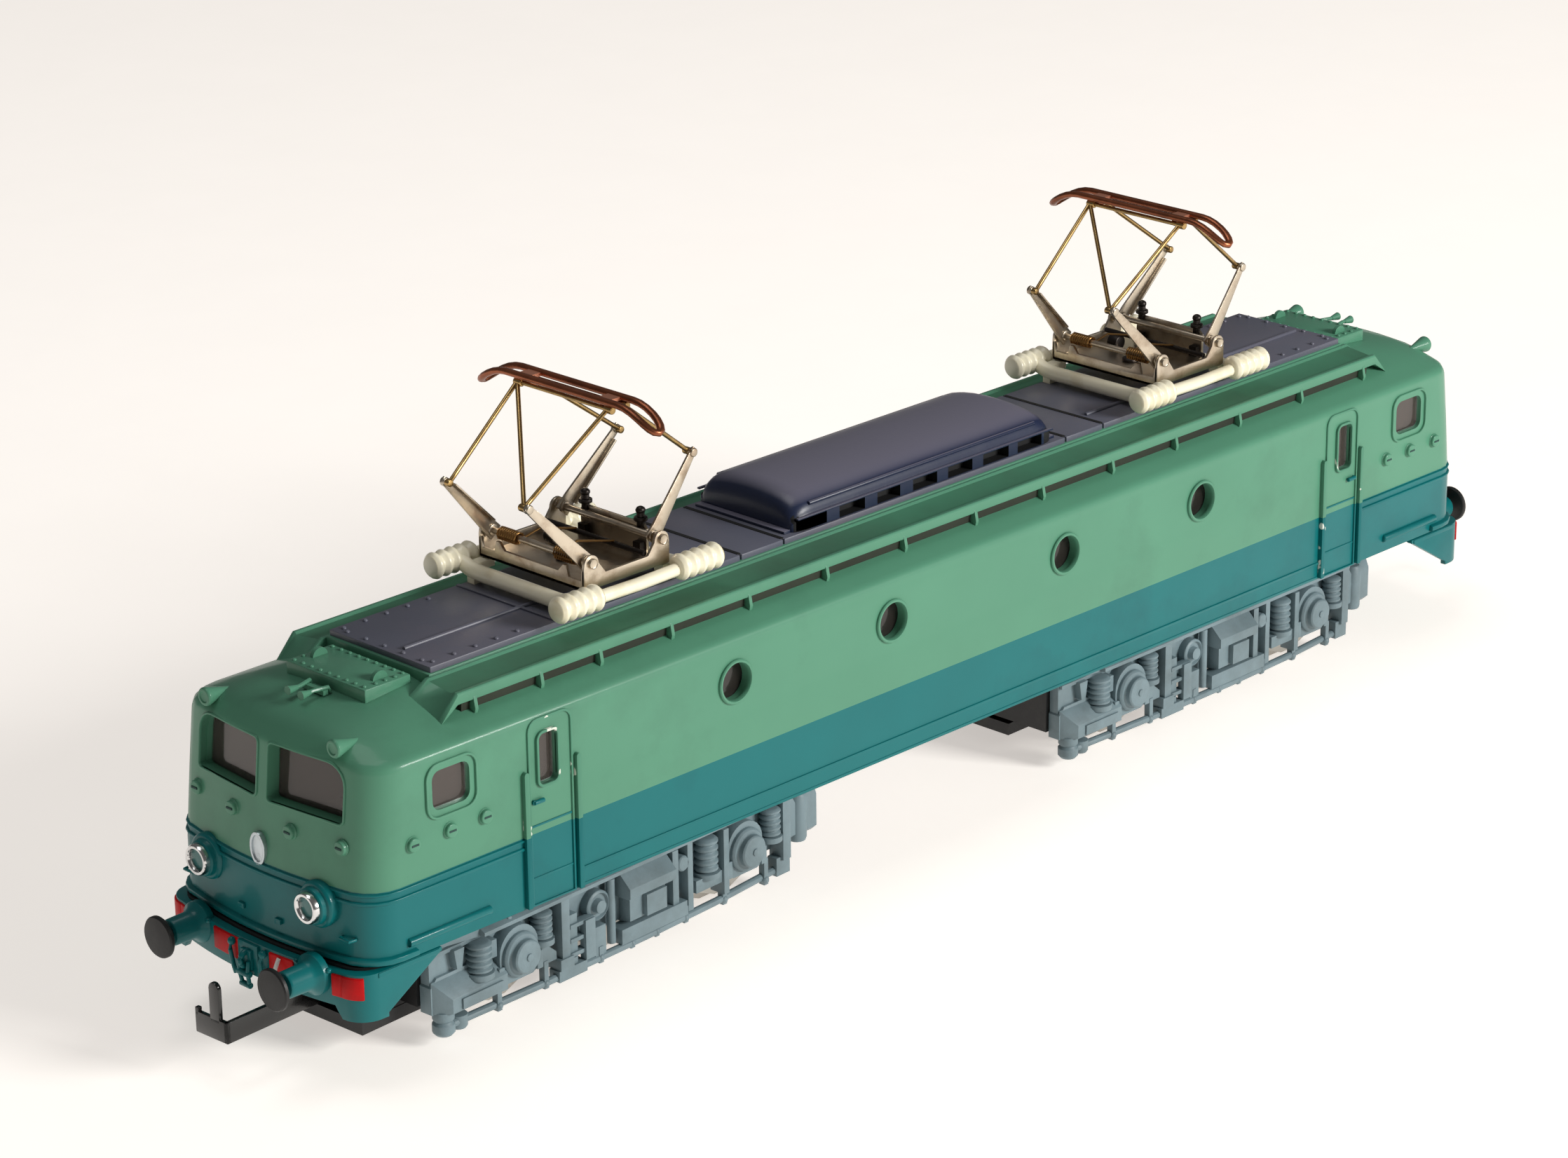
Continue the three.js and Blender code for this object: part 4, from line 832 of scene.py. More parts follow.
def doors():
    rims, bars, lines, low = Solid(), Solid(), Solid(), Solid()
    for side in SIDES:
        place = side_place(side)
        for end in ENDS:
            x0, x1 = sorted((end * DOOR_WINDOW["near"], end * DOOR_WINDOW["far"]))
            rims.add(rim((x0, x1, DOOR_WINDOW["bottom"], DOOR_WINDOW["top"]), [0.7] * 4, 0.34, place, -0.2,
                         0.34))
            x0, x1 = sorted((end * 68.9, end * 75.7))
            outline_in = rounded(x0 + 0.28, x1 - 0.28, 14.6, 36.8, [0.05, 0.05, 1.2, 1.2], 4)
            outline_out = rounded(x0, x1, 14.4, 37.1, [0.05, 0.05, 1.45, 1.45], 4)
            rims.add(ring_frame(outline_out, outline_in, place, -0.2, 0.22))
            for x in (76.3, 68.3):
                lower = rounded(end * x - 0.34, end * x + 0.34, 14.5, BAND_Z, [0.1, 0.1, 0.02, 0.02], 4)
                upper = rounded(end * x - 0.34, end * x + 0.34, BAND_Z, 31.2, [0.02, 0.02, 0.33, 0.33], 4)
                bars.add(extrude("y", lower, side * 17.0, side * 17.72), 1)
                bars.add(extrude("y", upper, side * 17.0, side * 17.72), 0)
            for z in (17.6, 24.0):
                lines.add(block(end * 69.2, end * 75.4, side * 17.0, side * 17.26, z, z + 0.25))
            lines.add(rod("x", 0.28, end * 73.6, end * 75.1, (0, side * 17.45, 27.1), 10))
            lines.add(rod("y", 0.3, side * 17.0, side * 17.5, (end * 75.0, 0, 27.1), 10))
            low.add(rod("x", 0.52, end * 82.2, end * 94.0, (0, side * 17.2, 16.3), 14, 0.2))
        low.add(block(-67.9, 67.9, side * 17.0, side * 17.32, 16.5, 16.85))
        low.add(block(-67.9, 67.9, side * 17.0, side * 17.24, 14.4, 14.8))
    door_rims = make("door_and_window_rims", rims, [CHIPPED, TEAL], smooth=40, bevel=0.06)
    split_colour(door_rims, BAND_Z)
    ride(door_rims, ROOT)
    ride(make("door_hand_bars", bars, [CHIPPED, TEAL_CHIPPED], smooth=40, bevel=0.06), ROOT)
    ride(make("door_panel_lines_and_handles", lines, [TEAL], smooth=40, bevel=0.05), ROOT)
    ride(make("side_raised_lines", low, [TEAL], smooth=40, bevel=0.08), ROOT)
    rings = Solid()
    for side in SIDES:
        for x in PORTHOLE_XS:
            profile = [(2.3, 16.9), (2.78, 16.9), (2.78, 17.4), (2.66, 17.52), (2.42, 17.5), (2.3, 17.3)]
            rings.add(ring_of(profile, side, x, PORTHOLE_Z))
    ride(make("porthole_rings", rings, [GREEN], smooth=40), ROOT)


def ring_of(profile, side, x, z, sides=36):
    """A turned ring round an axis along Y; the profile is closed and stays clear of the axis."""
    verts = [(x + r * math.cos(2 * math.pi * k / sides), side * y, z + r * math.sin(2 * math.pi * k / sides))
             for r, y in profile for k in range(sides)]
    faces = []
    for row in range(len(profile)):
        nxt = (row + 1) % len(profile)
        for k in range(sides):
            j = (k + 1) % sides
            faces.append((row * sides + k, row * sides + j, nxt * sides + j, nxt * sides + k))
    return verts, faces


for cab in ENDS:
    cab_details(cab)
doors()


# ---------------------------------------------------------------- roof

BRACKET_XS = (-80.5, -70.5, -61.3, -50.0, -37.2, -24.1, -10.4, 2.4, 15.0, 28.4, 41.0, 54.0, 67.0, 80.4)


def duct_profile(scale):
    """Section of one roof duct, flattened towards the roof by scale."""
    points = [(8.75, 40.4), (8.8, 42.25), (9.3, 42.3), (9.5, 42.02), (13.45, 41.52), (13.65, 41.82),
              (14.1, 41.8),
              (14.25, 41.6), (14.2, 40.5), (13.9, 40.35), (12.7, 40.4), (11.8, 39.5)]
    return [(y, roof_z(y) - 0.15 + (z - roof_z(y) + 0.15) * scale) for y, z in points]


def roof_pieces():
    ducts, gap_shade_and_dirt = Solid(), Solid()
    for side in SIDES:
        rows = []
        for x, scale in ((-85.6, 0.02), (-83.0, 1.0), (-82.2, 1.0), (0, 1.0), (82.2, 1.0), (83.0, 1.0),
                         (85.6, 0.02)):
            rows.append([(x, side * y, z) for y, z in duct_profile(scale)])
        ducts.add(loft(rows))
        for x in BRACKET_XS:
            gusset = [(side * 13.0, 40.6), (side * 14.2, 40.9), (side * 14.5, 39.4), (side * 14.3, 38.6),
                      (side * 13.0, 39.2)]
            ducts.add(extrude("x", gusset, x - 0.24, x + 0.24))
        # Dark strip in the gap under the fin edge: painted shade, tinted brown like dirt.
        gap = [(side * 12.0, 40.6), (side * 13.5, 40.6), (side * 13.6, 40.2), (side * 13.5, 39.0),
               (side * 12.0, 39.2)]
        gap_shade_and_dirt.add(extrude("x", gap, -82.0, 82.0))
    ride(make("roof_duct_gap_shade_and_dirt", gap_shade_and_dirt, [GAP_SHADE_AND_DIRT]), ROOT)
    roof_ducts = make("roof_ducts", ducts, [GREEN, DUSTY_GREEN], smooth=35, bevel=0.1)
    for poly in roof_ducts.data.polygons:
        across = abs(poly.center.y) / MM
        poly.material_index = 1 if poly.normal.z > 0.8 and 9.4 < across < 13.6 else 0
    ride(roof_ducts, ROOT)
    coaming = Solid()
    coaming.add(block(-82.5, 82.5, -8.9, 8.9, 40.5, 42.5))
    for end in ENDS:
        coaming.add(block(end * 83.3, end * 90.1, -6.8, 6.8, 40.0, 42.3))
    ride(make("roof_coaming_and_hatches", coaming, [GREEN], smooth=35, bevel=0.25), ROOT)
    bits = Solid()
    for end in ENDS:
        for y in [-6.0 + 1.5 * k for k in range(9)]:
            for x in (83.9, 89.5):
                bits.add(ball(0.3, (end * x, y, 42.32), 0.7, 8))
        for x in (85.2, 86.6, 88.0):
            for side in SIDES:
                bits.add(ball(0.3, (end * x, side * 6.2, 42.32), 0.7, 8))
        for side in SIDES:
            half_round = [(end * 86.6 + 1.1 * math.cos(math.pi * k / 10),
                           42.25 + 1.0 * math.sin(math.pi * k / 10))
                          for k in range(11)]
            bits.add(extrude("y", half_round, side * 4.9, side * 5.4))
        for side in SIDES:
            y = side * 1.6
            bits.add(tube([(end * 90.8, y, 41.0), (end * 91.0, y, 41.55), (end * 92.8, y * 0.7, 41.5),
                           (end * 93.6, y * 0.7, 41.45)], 0.26, 8))
            bits.add(lathe("x", [(0, end * 93.2), (0.3, end * 93.2), (0.55, end * 94.6), (0, end * 94.6)],
                           (0, y * 0.7, 41.45), 12))
        bits.add(block(end * 91.2, end * 91.9, -1.8, 1.8, 40.8, 41.35))
    ride(make("hatch_bolts_and_horns", bits, [GREEN], smooth=40), ROOT)
    deck = Solid()
    gap = 0.12
    joints_x = [-DECK["half_length"], -33.0, -25.7, 25.7, 33.0, DECK["half_length"]]
    for a, b in zip(joints_x, joints_x[1:]):
        deck.add(block(a + gap, b - gap, -8.65, 8.65, 42.3, 43.2))
    ride(make("roof_deck_panels", deck, [ROOF], smooth=35, bevel=0.14), ROOT, ["roof_deck"])
    trim, lines = Solid(), Solid()
    for end in ENDS:
        trim.add(tube([(end * 80.5, -2.4, 43.3), (end * 60, -2.4, 43.3), (end * 45, -4.8, 43.3),
                       (end * 34, -4.8, 43.3)],
                      0.28, 8))
        trim.add(block(end * 62.5, end * 63.0, -8.4, 8.4, 43.15, 43.42))
        for k in range(5):
            trim.add(ball(0.34, (end * (68 + 3.2 * k), -7.6, 43.22), 0.8, 8))
            trim.add(ball(0.34, (end * (68 + 3.2 * k), 7.6, 43.22), 0.8, 8))
            trim.add(ball(0.34, (end * 81.3, -6.4 + 3.2 * k, 43.22), 0.8, 8))
        for x in (25.7, 33.0):
            lines.add(block(end * x - 0.28, end * x + 0.28, -8.3, 8.3, 43.0, 43.26))
    ride(make("roof_deck_joint_lines", lines, [SHADE_AND_JOINT_BLACK]), ROOT)
    ride(make("roof_deck_fittings", trim, [ROOF], smooth=40, bevel=0.05), ROOT)


def vent_housing():
    shape = [(8.5, 43.2), (8.5, 44.95), (8.15, 45.05), (8.1, 45.35), (7.9, 45.9), (7.4, 46.5), (6.6, 47.0),
             (5.3, 47.35), (3.6, 47.62), (1.8, 47.76), (0.0, 47.8)]
    half = [(-y, z) for y, z in shape] + [(y, z) for y, z in reversed(shape[:-1])]
    rows = []
    for x in (23.6, 23.52, 23.3, 22.9, 22.4, 21.7, 20.9, 20.0):
        k = (23.6 - x) / 3.6
        rise = (1 - (1 - min(1, k)) ** 2.4) ** (1 / 2.4)
        rows.append((x, rise))
    xs = [(-x, r) for x, r in rows] + [(x, r) for x, r in reversed(rows)]
    rings = []
    for x, rise in xs:
        ring = []
        for y, z in half:
            share = 0.25 + 0.75 * rise
            ring.append((x, y * (0.86 + 0.14 * rise), 43.2 + (z - 43.2) * share))
        rings.append(ring)
    housing = make("vent_dome", Solid().add(loft(rings)), [VENT, SHADE_AND_JOINT_BLACK], smooth=45, bevel=0.12)
    cutters = Solid()
    slot_xs = [(-23.0, -18.1), (-15.9, -11.4), (-9.2, -5.1), (-2.8, 1.6), (3.6, 8.1), (10.1, 14.9),
               (16.6, 21.2)]
    for side in SIDES:
        for a, b in slot_xs:
            cutters.add(block(a, b, side * 6.9, side * 9.5, 43.32, 44.78))
    carve(housing, cutters, 45)
    # Faces inside the vent slots get the near-black: painted shade in the recesses.
    for poly in housing.data.polygons:
        c = poly.center / MM
        poly.material_index = 1 if abs(c.y) < 8.45 and c.z < 44.9 and abs(c.x) < 23.4 else 0
    ride(housing, ROOT, ["roof_vent_housing"])
    trim = Solid()
    for side in SIDES:
        trim.add(block(-23.2, 23.2, side * 8.2, side * 8.65, 44.82, 45.05))
        trim.add(tube([(x, side * 7.75, 46.2) for x in (-20.5, 0, 20.5)], 0.26, 8))
    for end in ENDS:
        trim.add(block(end * 23.4, end * 24.6, -7.6, 7.6, 43.1, 43.55))
    ride(make("vent_trim", trim, [VENT], smooth=40, bevel=0.06), ROOT)


roof_pieces()
vent_housing()


# ---------------------------------------------------------------- cab ends: lamps, apron, buffers

def headlights(end):
    number = 1 if end < 0 else 2
    for side in SIDES:
        node = f"headlight_{number}_{'left' if side * -end > 0 else 'right'}"
        low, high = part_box(node)
        y = (low.y + high.y) / 2 / MM
        z = (low.z + high.z) / 2 / MM
        tip = max(abs(low.x), abs(high.x)) / MM
        base = Solid()
        profile = [(0, 99.4), (2.75, 99.4), (2.75, 100.7), (2.5, 100.95), (2.2, 101.0), (2.15, 101.55),
                   (1.95, 101.7),
                   (0, 101.7)]
        base.add(lathe("x", [(r, end * a) for r, a in profile], (0, y, z), 32))
        obj = make(f"headlight_body_{number}_{'a' if side < 0 else 'b'}", base, [TEAL], smooth=35, bevel=0.06)
        ride(obj, ROOT, [node])
        ring = Solid()
        profile = [(1.78, tip - 1.3), (1.86, tip - 0.25), (1.7, tip), (1.42, tip - 0.02), (1.22, tip - 0.3),
                   (1.2, tip - 1.1)]
        verts = [(end * a, y + r * math.cos(2 * math.pi * k / 32), z + r * math.sin(2 * math.pi * k / 32))
                 for r, a in profile for k in range(32)]
        faces = [(i * 32 + k, i * 32 + (k + 1) % 32, ((i + 1) % 6) * 32 + (k + 1) % 32,
                  ((i + 1) % 6) * 32 + k)
                 for i in range(6) for k in range(32)]
        ring.add((verts, faces))
        ride(make(f"headlight_ring_{number}_{'a' if side < 0 else 'b'}", ring, [SILVER], smooth=40), ROOT)
        lens = Solid()
        lens.add(lathe("x", [(0, end * (tip - 1.0)), (1.3, end * (tip - 1.0)), (1.3, end * (tip - 0.62)),
                             (0.9, end * (tip - 0.5)), (0, end * (tip - 0.42))], (0, y, z), 28))
        ride(make(f"headlight_lens_{number}_{'a' if side < 0 else 'b'}", lens, [LAMP_FACE], smooth=40), ROOT)


def apron_skin(end):
    """The skirt under one cab: bowed front, rounded corners and two wings that narrow towards the bogie."""
    number = 1 if end < 0 else 2

    def outline(inset):
        points = plan_outline(102.8 - inset, 17.0 - inset, 3.0 - inset * 0.7, 10, 8)
        points = [(px, py) for px, py in points if end * px > 0] + [(end * 86, y)
                                                                    for y in (inset - 17.0, 17.0 - inset)]
        return sorted(points, key=lambda p: math.atan2(p[1], p[0] - end * 92))

    front = outline(0)
    back = outline(0.8)
    skin = make(f"apron_skin_{number}", Solid().add(extrude("z", front, 8.4, 14.1)), [TEAL], smooth=30,
                merge=0.0)
    carve(skin, Solid().add(extrude("z", [(px, py) for px, py in back], 7.0, 13.7)), 30)
    side_view = [(end * 0, 7.0), (end * 97.2, 7.0), (end * 97.2, 8.9), (end * 89.4, 13.62),
                 (end * 89.2, 13.62),
                 (end * 89.2, 16), (end * 0, 16)]
    carve(skin, Solid().add(extrude("y", side_view, -20, 20)), 30)
    arch = [(12.9, 9.9), (13.3, 9.2), (14.0, 8.2), (14.0, 7.0), (-14.0, 7.0), (-14.0, 8.2), (-13.3, 9.2),
            (-12.9, 9.9)]
    carve(skin, Solid().add(extrude("x", arch, end * 97.5, end * 105)), 30)
    soften = skin.modifiers.new("edges", "BEVEL")
    soften.width = 0.22 * MM
    soften.segments = 2
    soften.limit_method = "ANGLE"
    soften.angle_limit = math.radians(40)
    bake(skin)
    finish_shading(skin, 35)
    ride(skin, ROOT, [f"apron_{number}"])


def apron_details(end):
    number = 1 if end < 0 else 2
    half, width = 102.8, 17.0

    def face(y):
        return end * (half - 64.0 + math.sqrt(64.0 ** 2 - y * y))

    panels, trim = Solid(), Solid()
    for y0, y1 in ((12.7, 14.02), (1.9, 6.6), (-7.2, -3.4), (-14.02, -12.7)):
        y0, y1 = (y0, y1) if end < 0 else (-y1, -y0)
        steps = 5
        ys = [y0 + (y1 - y0) * k / steps for k in range(steps + 1)]
        verts, faces = [], []
        for y in ys:
            x = face(y)
            verts += [(x - end * 0.4, y, 11.0), (x + end * 0.22, y, 11.15), (x + end * 0.22, y, 13.75),
                      (x - end * 0.4, y, 13.9)]
        for k in range(steps):
            a, b = 4 * k, 4 * k + 4
            faces += [(a + m, a + (m + 1) % 4, b + (m + 1) % 4, b + m) for m in range(4)]
        faces += [(3, 2, 1, 0), (4 * steps, 4 * steps + 1, 4 * steps + 2, 4 * steps + 3)]
        panels.add((verts, faces))
    for side in SIDES:
        corner_x, corner_y, radius = end * (half - sag_of(14.0) - 3.0), side * 14.0, 3.0
        verts, faces = [], []
        steps = 8
        for k in range(steps + 1):
            angle = math.radians(52 * k / steps)
            cx, cy = math.cos(angle) * end, math.sin(angle) * side
            for r, z in ((radius - 0.4, 11.0), (radius + 0.22, 11.15), (radius + 0.22, 13.75),
                         (radius - 0.4, 13.9)):
                verts.append((corner_x + r * cx, corner_y + r * cy, z))
        for k in range(steps):
            a, b = 4 * k, 4 * k + 4
            faces += [(a + m, a + (m + 1) % 4, b + (m + 1) % 4, b + m) for m in range(4)]
        faces += [(3, 2, 1, 0), (4 * steps, 4 * steps + 1, 4 * steps + 2, 4 * steps + 3)]
        panels.add((verts, faces))
    ride(make(f"apron_red_panels_{number}", panels, [RED], smooth=40, bevel=0.1), ROOT)
    x = face(0)
    trim.add(block(x - end * 0.4, x + end * 0.35, -1.7, 1.7, 10.2, 13.9))
    trim.add(block(x + end * 0.2, x + end * 0.7, -0.9, 0.9, 10.8, 13.2))
    hook = [(x + end * (0.4 + 1.1 * math.sin(math.radians(a))), 0, 12.1 + 0.9 * math.cos(math.radians(a)))
            for a in range(-60, 200, 20)]
    trim.add(tube([(x, 0, 12.2)] + hook, 0.36, 8))
    for y in (-0.75, 0.75):
        trim.add(tube([(x + end * 0.9, y, 12.0), (x + end * 1.1, y, 10.6), (x + end * 0.8, y * 0.8, 9.0)],
                      0.26, 8))
    trim.add(rod("y", 0.42, -1.1, 1.1, (x + end * 1.0, 0, 10.5), 12, 0.1))
    trim.add(rod("y", 0.36, -0.9, 0.9, (x + end * 0.8, 0, 9.0), 12, 0.1))
    for y in (-2.7, 2.7):
        fx = face(y)
        trim.add(tube([(fx - end * 0.2, y, 13.4), (fx + end * 0.6, y, 13.3), (fx + end * 0.8, y * 0.96, 12.4),
                       (fx + end * 0.6, y * 0.9, 10.6), (fx + end * 0.5, y * 0.8, 9.6)], 0.28, 8))
        trim.add(ball(0.5, (fx + end * 0.45, y, 13.35), 1.0, 10))
    for side in SIDES:
        for y in (7.7, 12.3):
            trim.add(ball(0.4, (face(side * y) + end * 0.1, side * y, 14.0), 0.8, 8))
        root = face(side * 10)
        profile = [(0, root - end * 0.5), (2.5, root - end * 0.5), (2.45, root + end * 0.35),
                   (1.95, root + end * 0.75),
                   (1.65, root + end * 1.4), (1.6, end * 106.0), (1.45, end * 106.3), (0, end * 106.3)]
        trim.add(lathe("x", profile, (0, side * 10, 13.0), 28))
        trim.add(block(end * 89.6, end * 98.5, side * 16.5, side * 17.12, 13.5, 14.05))
    ride(make(f"apron_fittings_{number}", trim, [TEAL], smooth=40, bevel=0.08), ROOT)
    gap = Solid()
    outline = plan_outline(half - 1.0, width - 0.9, 3.4)
    gap.add(extrude("z", [(px, py) for px, py in outline if end * px > 90] , 14.02, 14.45))
    ride(make(f"apron_shadow_gap_{number}", gap, [SHADE_AND_JOINT_BLACK], smooth=40), ROOT)
    hose = Solid()
    hy = -5.2 if end < 0 else 5.2
    path = [(face(hy) + end * (0.3 + 0.9 * math.sin(math.pi * k / 9)), hy - 0.25 * k / 9, 13.6 - 4.2 * k / 9)
            for k in range(10)]
    hose.add(tube(path, 0.24, 8))
    ride(make(f"brake_hose_{number}", hose, [WHITE_HOSE], smooth=60), ROOT)
    for side in SIDES:
        label = "left" if side * -end > 0 else "right"
        node = f"buffer_head_{number}_{label}"
        head = Solid()
        low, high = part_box(node)
        y, z = (low.y + high.y) / 2 / MM, (low.z + high.z) / 2 / MM
        profile = [(0, 105.9), (0.85, 105.9), (0.9, 107.0), (1.3, 107.25), (2.35, 107.35), (2.5, 107.5),
                   (2.5, 107.85),
                   (2.35, 108.02), (1.6, 108.14), (0, 108.2)]
        head.add(lathe("x", [(r, end * a) for r, a in profile], (0, y, z), 32))
        ride(make(f"buffer_plate_{number}_{'a' if side < 0 else 'b'}", head, [BLACK], smooth=35), ROOT,
             [node])


def sag_of(reach):
    return 64.0 - math.sqrt(64.0 ** 2 - reach ** 2)


for cab in ENDS:
    headlights(cab)
    apron_skin(cab)
    apron_details(cab)


# ---------------------------------------------------------------- pantographs

def ribbed_barrel(x0, x1, y, z):
    ribs = 5
    length = (x1 - x0)
    profile = [(0, x0), (1.1, x0), (1.3, x0 + 0.12)]
    for k in range(ribs):
        a = x0 + length * (k + 0.08) / ribs
        b = x0 + length * (k + 0.92) / ribs
        profile += [(1.22, a), (1.55, a + 0.28 * (b - a)), (1.64, (a + b) / 2), (1.55, b - 0.28 * (b - a)),
                    (1.22, b)]
    profile += [(1.3, x1 - 0.12), (1.0, x1), (0, x1)]
    return lathe("x", profile, (0, y, z), 24)


def insulators(number, cx):
    frame_parts = Solid()
    for end in ENDS:
        a, b = (cx + 6.2, cx + 13.0) if end > 0 else (cx - 13.0, cx - 6.2)
        for side in SIDES:
            frame_parts.add(ribbed_barrel(a, b, side * 10.7, 45.5))
            frame_parts.add(block(cx + end * 7.9, cx + end * 9.3, side * 7.2, side * 8.4, 42.9, 44.9))
        x = cx + end * 8.8
        path = [(x, -10.7, 45.4), (x, -9.6, 45.2), (x, -8.2, 44.75), (x, -6.4, 44.6), (x, 6.4, 44.6),
                (x, 8.2, 44.75),
                (x, 9.6, 45.2), (x, 10.7, 45.4)]
        frame_parts.add(tube(path, 0.98, 12))
        for side in SIDES:
            frame_parts.add(block(cx + end * 5.8, cx + end * 8.8, side * 7.4, side * 8.9, 44.6, 45.55))
    for side in SIDES:
        frame_parts.add(tube([(cx - 6.6, side * 10.7, 45.35), (cx, side * 10.75, 45.25),
                              (cx + 6.6, side * 10.7, 45.35)],
                             0.78, 12))
    ride(make(f"insulator_set_{number}", frame_parts, [CREAM], smooth=50), ROOT,
         [f"insulator_frame_{number}"])


def pantograph_tray(number, cx):
    tray = Solid()
    floor, sheet = 45.7, 0.4
    tray.add(block(cx - 6.8, cx + 6.8, -8.8, 8.8, floor, floor + sheet))
    tray.add(extrude("x", [(-8.9, floor), (8.9, floor), (8.9, 48.2), (8.55, 48.2), (8.4, 46.9), (6.3, 46.9),
                           (6.0, 48.2), (5.4, 48.2), (4.6, 47.3), (-4.6, 47.3), (-5.4, 48.2), (-6.0, 48.2),
                           (-6.3, 46.9), (-8.4, 46.9), (-8.55, 48.2), (-8.9, 48.2)], cx - 6.8, cx - 6.4))
    tray.add(extrude("x", [(-5.6, floor), (5.6, floor), (5.6, 49.0), (5.0, 49.6), (-5.0, 49.6), (-5.6, 49.0)],
                     cx + 6.4, cx + 6.8))

    def ear(mid):
        return [(mid - 1.15 * math.cos(math.pi * k / 10), 48.7 + 1.15 * math.sin(math.pi * k / 10))
                for k in range(11)]

    wall = [(cx - 6.8, floor)] + [(cx - 6.8, 48.4)] + ear(cx - 5.6) + [(cx - 3.4, 47.3), (cx + 3.4, 47.3)]
    wall += ear(cx + 5.6) + [(cx + 6.8, 48.4), (cx + 6.8, floor)]
    for side in SIDES:
        tray.add(extrude("y", wall, side * 8.6, side * 9.0))
        tray.add(rod("y", 0.62, side * 8.5, side * 9.35, (cx - 5.6, 0, 48.9), 14, 0.12))
        tray.add(rod("y", 0.62, side * 8.5, side * 9.35, (cx + 5.6, 0, 48.9), 14, 0.12))
    ride(make(f"pantograph_tray_{number}", tray, [NICKEL], smooth=35, bevel=0.06), ROOT,
         [f"pantograph_base_{number}"])
    dark = Solid()
    for side in SIDES:
        dark.add(rod("z", 0.5, 49.0, 51.2, (cx + 6.4, side * 4.7, 0), 12, 0.15))
        dark.add(rod("z", 0.85, 49.9, 50.4, (cx + 6.4, side * 4.7, 0), 12, 0.12))
        dark.add(ball(0.62, (cx + 6.4, side * 4.7, 51.2), 0.8, 10))
        dark.add(block(cx + 5.6, cx + 6.5, side * 4.1, side * 5.3, 46.1, 47.4))
    dark.add(rod("y", 0.34, -8.4, 8.4, (cx + 3.4, 0, 47.5), 10))
    dark.add(rod("y", 1.0, 3.8, 5.4, (cx + 1.0, 0, 47.2), 16, 0.15))
    dark.add(rod("z", 1.1, 46.05, 46.6, (cx - 1.5, 0, 0), 18, 0.2))
    ride(make(f"pantograph_stops_{number}", dark, [DARK_STEEL], smooth=45), ROOT)
    coils = Solid()
    for side in SIDES:
        turns, per = 9, 8
        path = [(cx - 5.6 + 0.72 * math.cos(2 * math.pi * k / per), side * (3.2 + 3.2 * k / (turns * per)),
                 48.9 + 0.72 * math.sin(2 * math.pi * k / per)) for k in range(turns * per + 1)]
        coils.add(tube([(cx + 3.4, side * 3.2, 47.8), (cx - 2.4, side * 3.2, 49.35)] + path, 0.16, 6))
    ride(make(f"pantograph_springs_{number}", coils, [GOLD_WIRE], smooth=60), ROOT)


def lower_arm(number, cx, end, ys, name):
    arm = Solid()
    pivot = Vector((cx + end * ARM_PIVOT["x"], 0, ARM_PIVOT["z"]))
    knee = Vector((cx + end * ARM_KNEE["x"], 0, ARM_KNEE["z"]))
    along = (knee - pivot).normalized()
    across = along.cross(Vector((0, 1, 0))).normalized()
    for side in SIDES:
        foot = pivot + Vector((0, side * ys[0], 0))
        top = knee + Vector((0, side * ys[1], 0))
        verts = []
        for point, width in ((foot - along * 0.7, 1.05), (foot + along * 1.2, 0.95), (top - along * 0.6, 0.5),
                             (top + along * 0.55, 0.42)):
            for u, v in ((-1, -0.17), (1, -0.17), (1, 0.17), (-1, 0.17)):
                verts.append(tuple(point + across * (u * width) + Vector((0, v * side, 0))))
        faces = [(3, 2, 1, 0), (12, 13, 14, 15)]
        for k in range(3):
            faces += [(4 * k + m, 4 * k + (m + 1) % 4, 4 * k + 4 + (m + 1) % 4, 4 * k + 4 + m)
                      for m in range(4)]
        arm.add((verts, faces))
        edge_a = foot + along * 1.0 - across * 0.85 + Vector((0, -side * 0.35, 0))
        edge_b = top - along * 1.2 - across * 0.48 + Vector((0, -side * 0.25, 0))
        arm.add(strip(edge_a, edge_b, (0, 1, 0), 0.75, 0.24))
        arm.add(rod("y", 0.55, side * ys[1] - 0.36, side * ys[1] + 0.36, (knee.x, 0, knee.z), 14, 0.1))
        arm.add(rod("y", 0.75, side * ys[0] - 0.32, side * ys[0] + 0.32, (pivot.x, 0, pivot.z), 14, 0.1))
    arm.add(rod("y", 0.42, -ys[0] - 0.3, ys[0] + 0.3, (pivot.x, 0, pivot.z), 12, 0.1))
    ride(make(f"{name}_sheet_{number}", arm, [NICKEL], smooth=40, bevel=0.05), f"{name}_{number}",
         [f"{name}_{number}"])


def upper_arm(number, cx, end, knee_y, braced, name):
    arm = Solid()
    knee_x, knee_z, crown_x, crown_z = cx + end * 13.3, 57.0, cx + end * 1.15, 66.1
    inner = knee_y - 0.75

    def wire(side_a, side_b):
        a = Vector((knee_x, side_a * inner, knee_z))
        b = Vector((crown_x, side_b * 7.6, crown_z))
        path = [a + (b - a) * t for t in (0.0, 0.03, 0.1, 0.5, 0.9, 1.0)]
        path[0] = a + Vector((0, side_a * 0.35, 0))
        return tube(path, 0.29, 10)

    for side in SIDES:
        arm.add(wire(side, side))
        arm.add(rod("y", 0.46, side * inner - 0.3, side * inner + 0.62, (knee_x, 0, knee_z), 12, 0.1))
        arm.add(rod("y", 0.5, side * 7.6 - 0.9, side * 7.6 + 0.3, (crown_x, 0, crown_z), 12, 0.1))
    if braced:
        arm.add(wire(-1, 1))
    arm.add(rod("y", 0.28, -8.0, 8.0, (crown_x, 0, crown_z), 10))
    ride(make(f"{name}_wires_{number}", arm, [BRASS_WIRE], smooth=50), f"{name}_{number}",
         [f"{name}_{number}"])


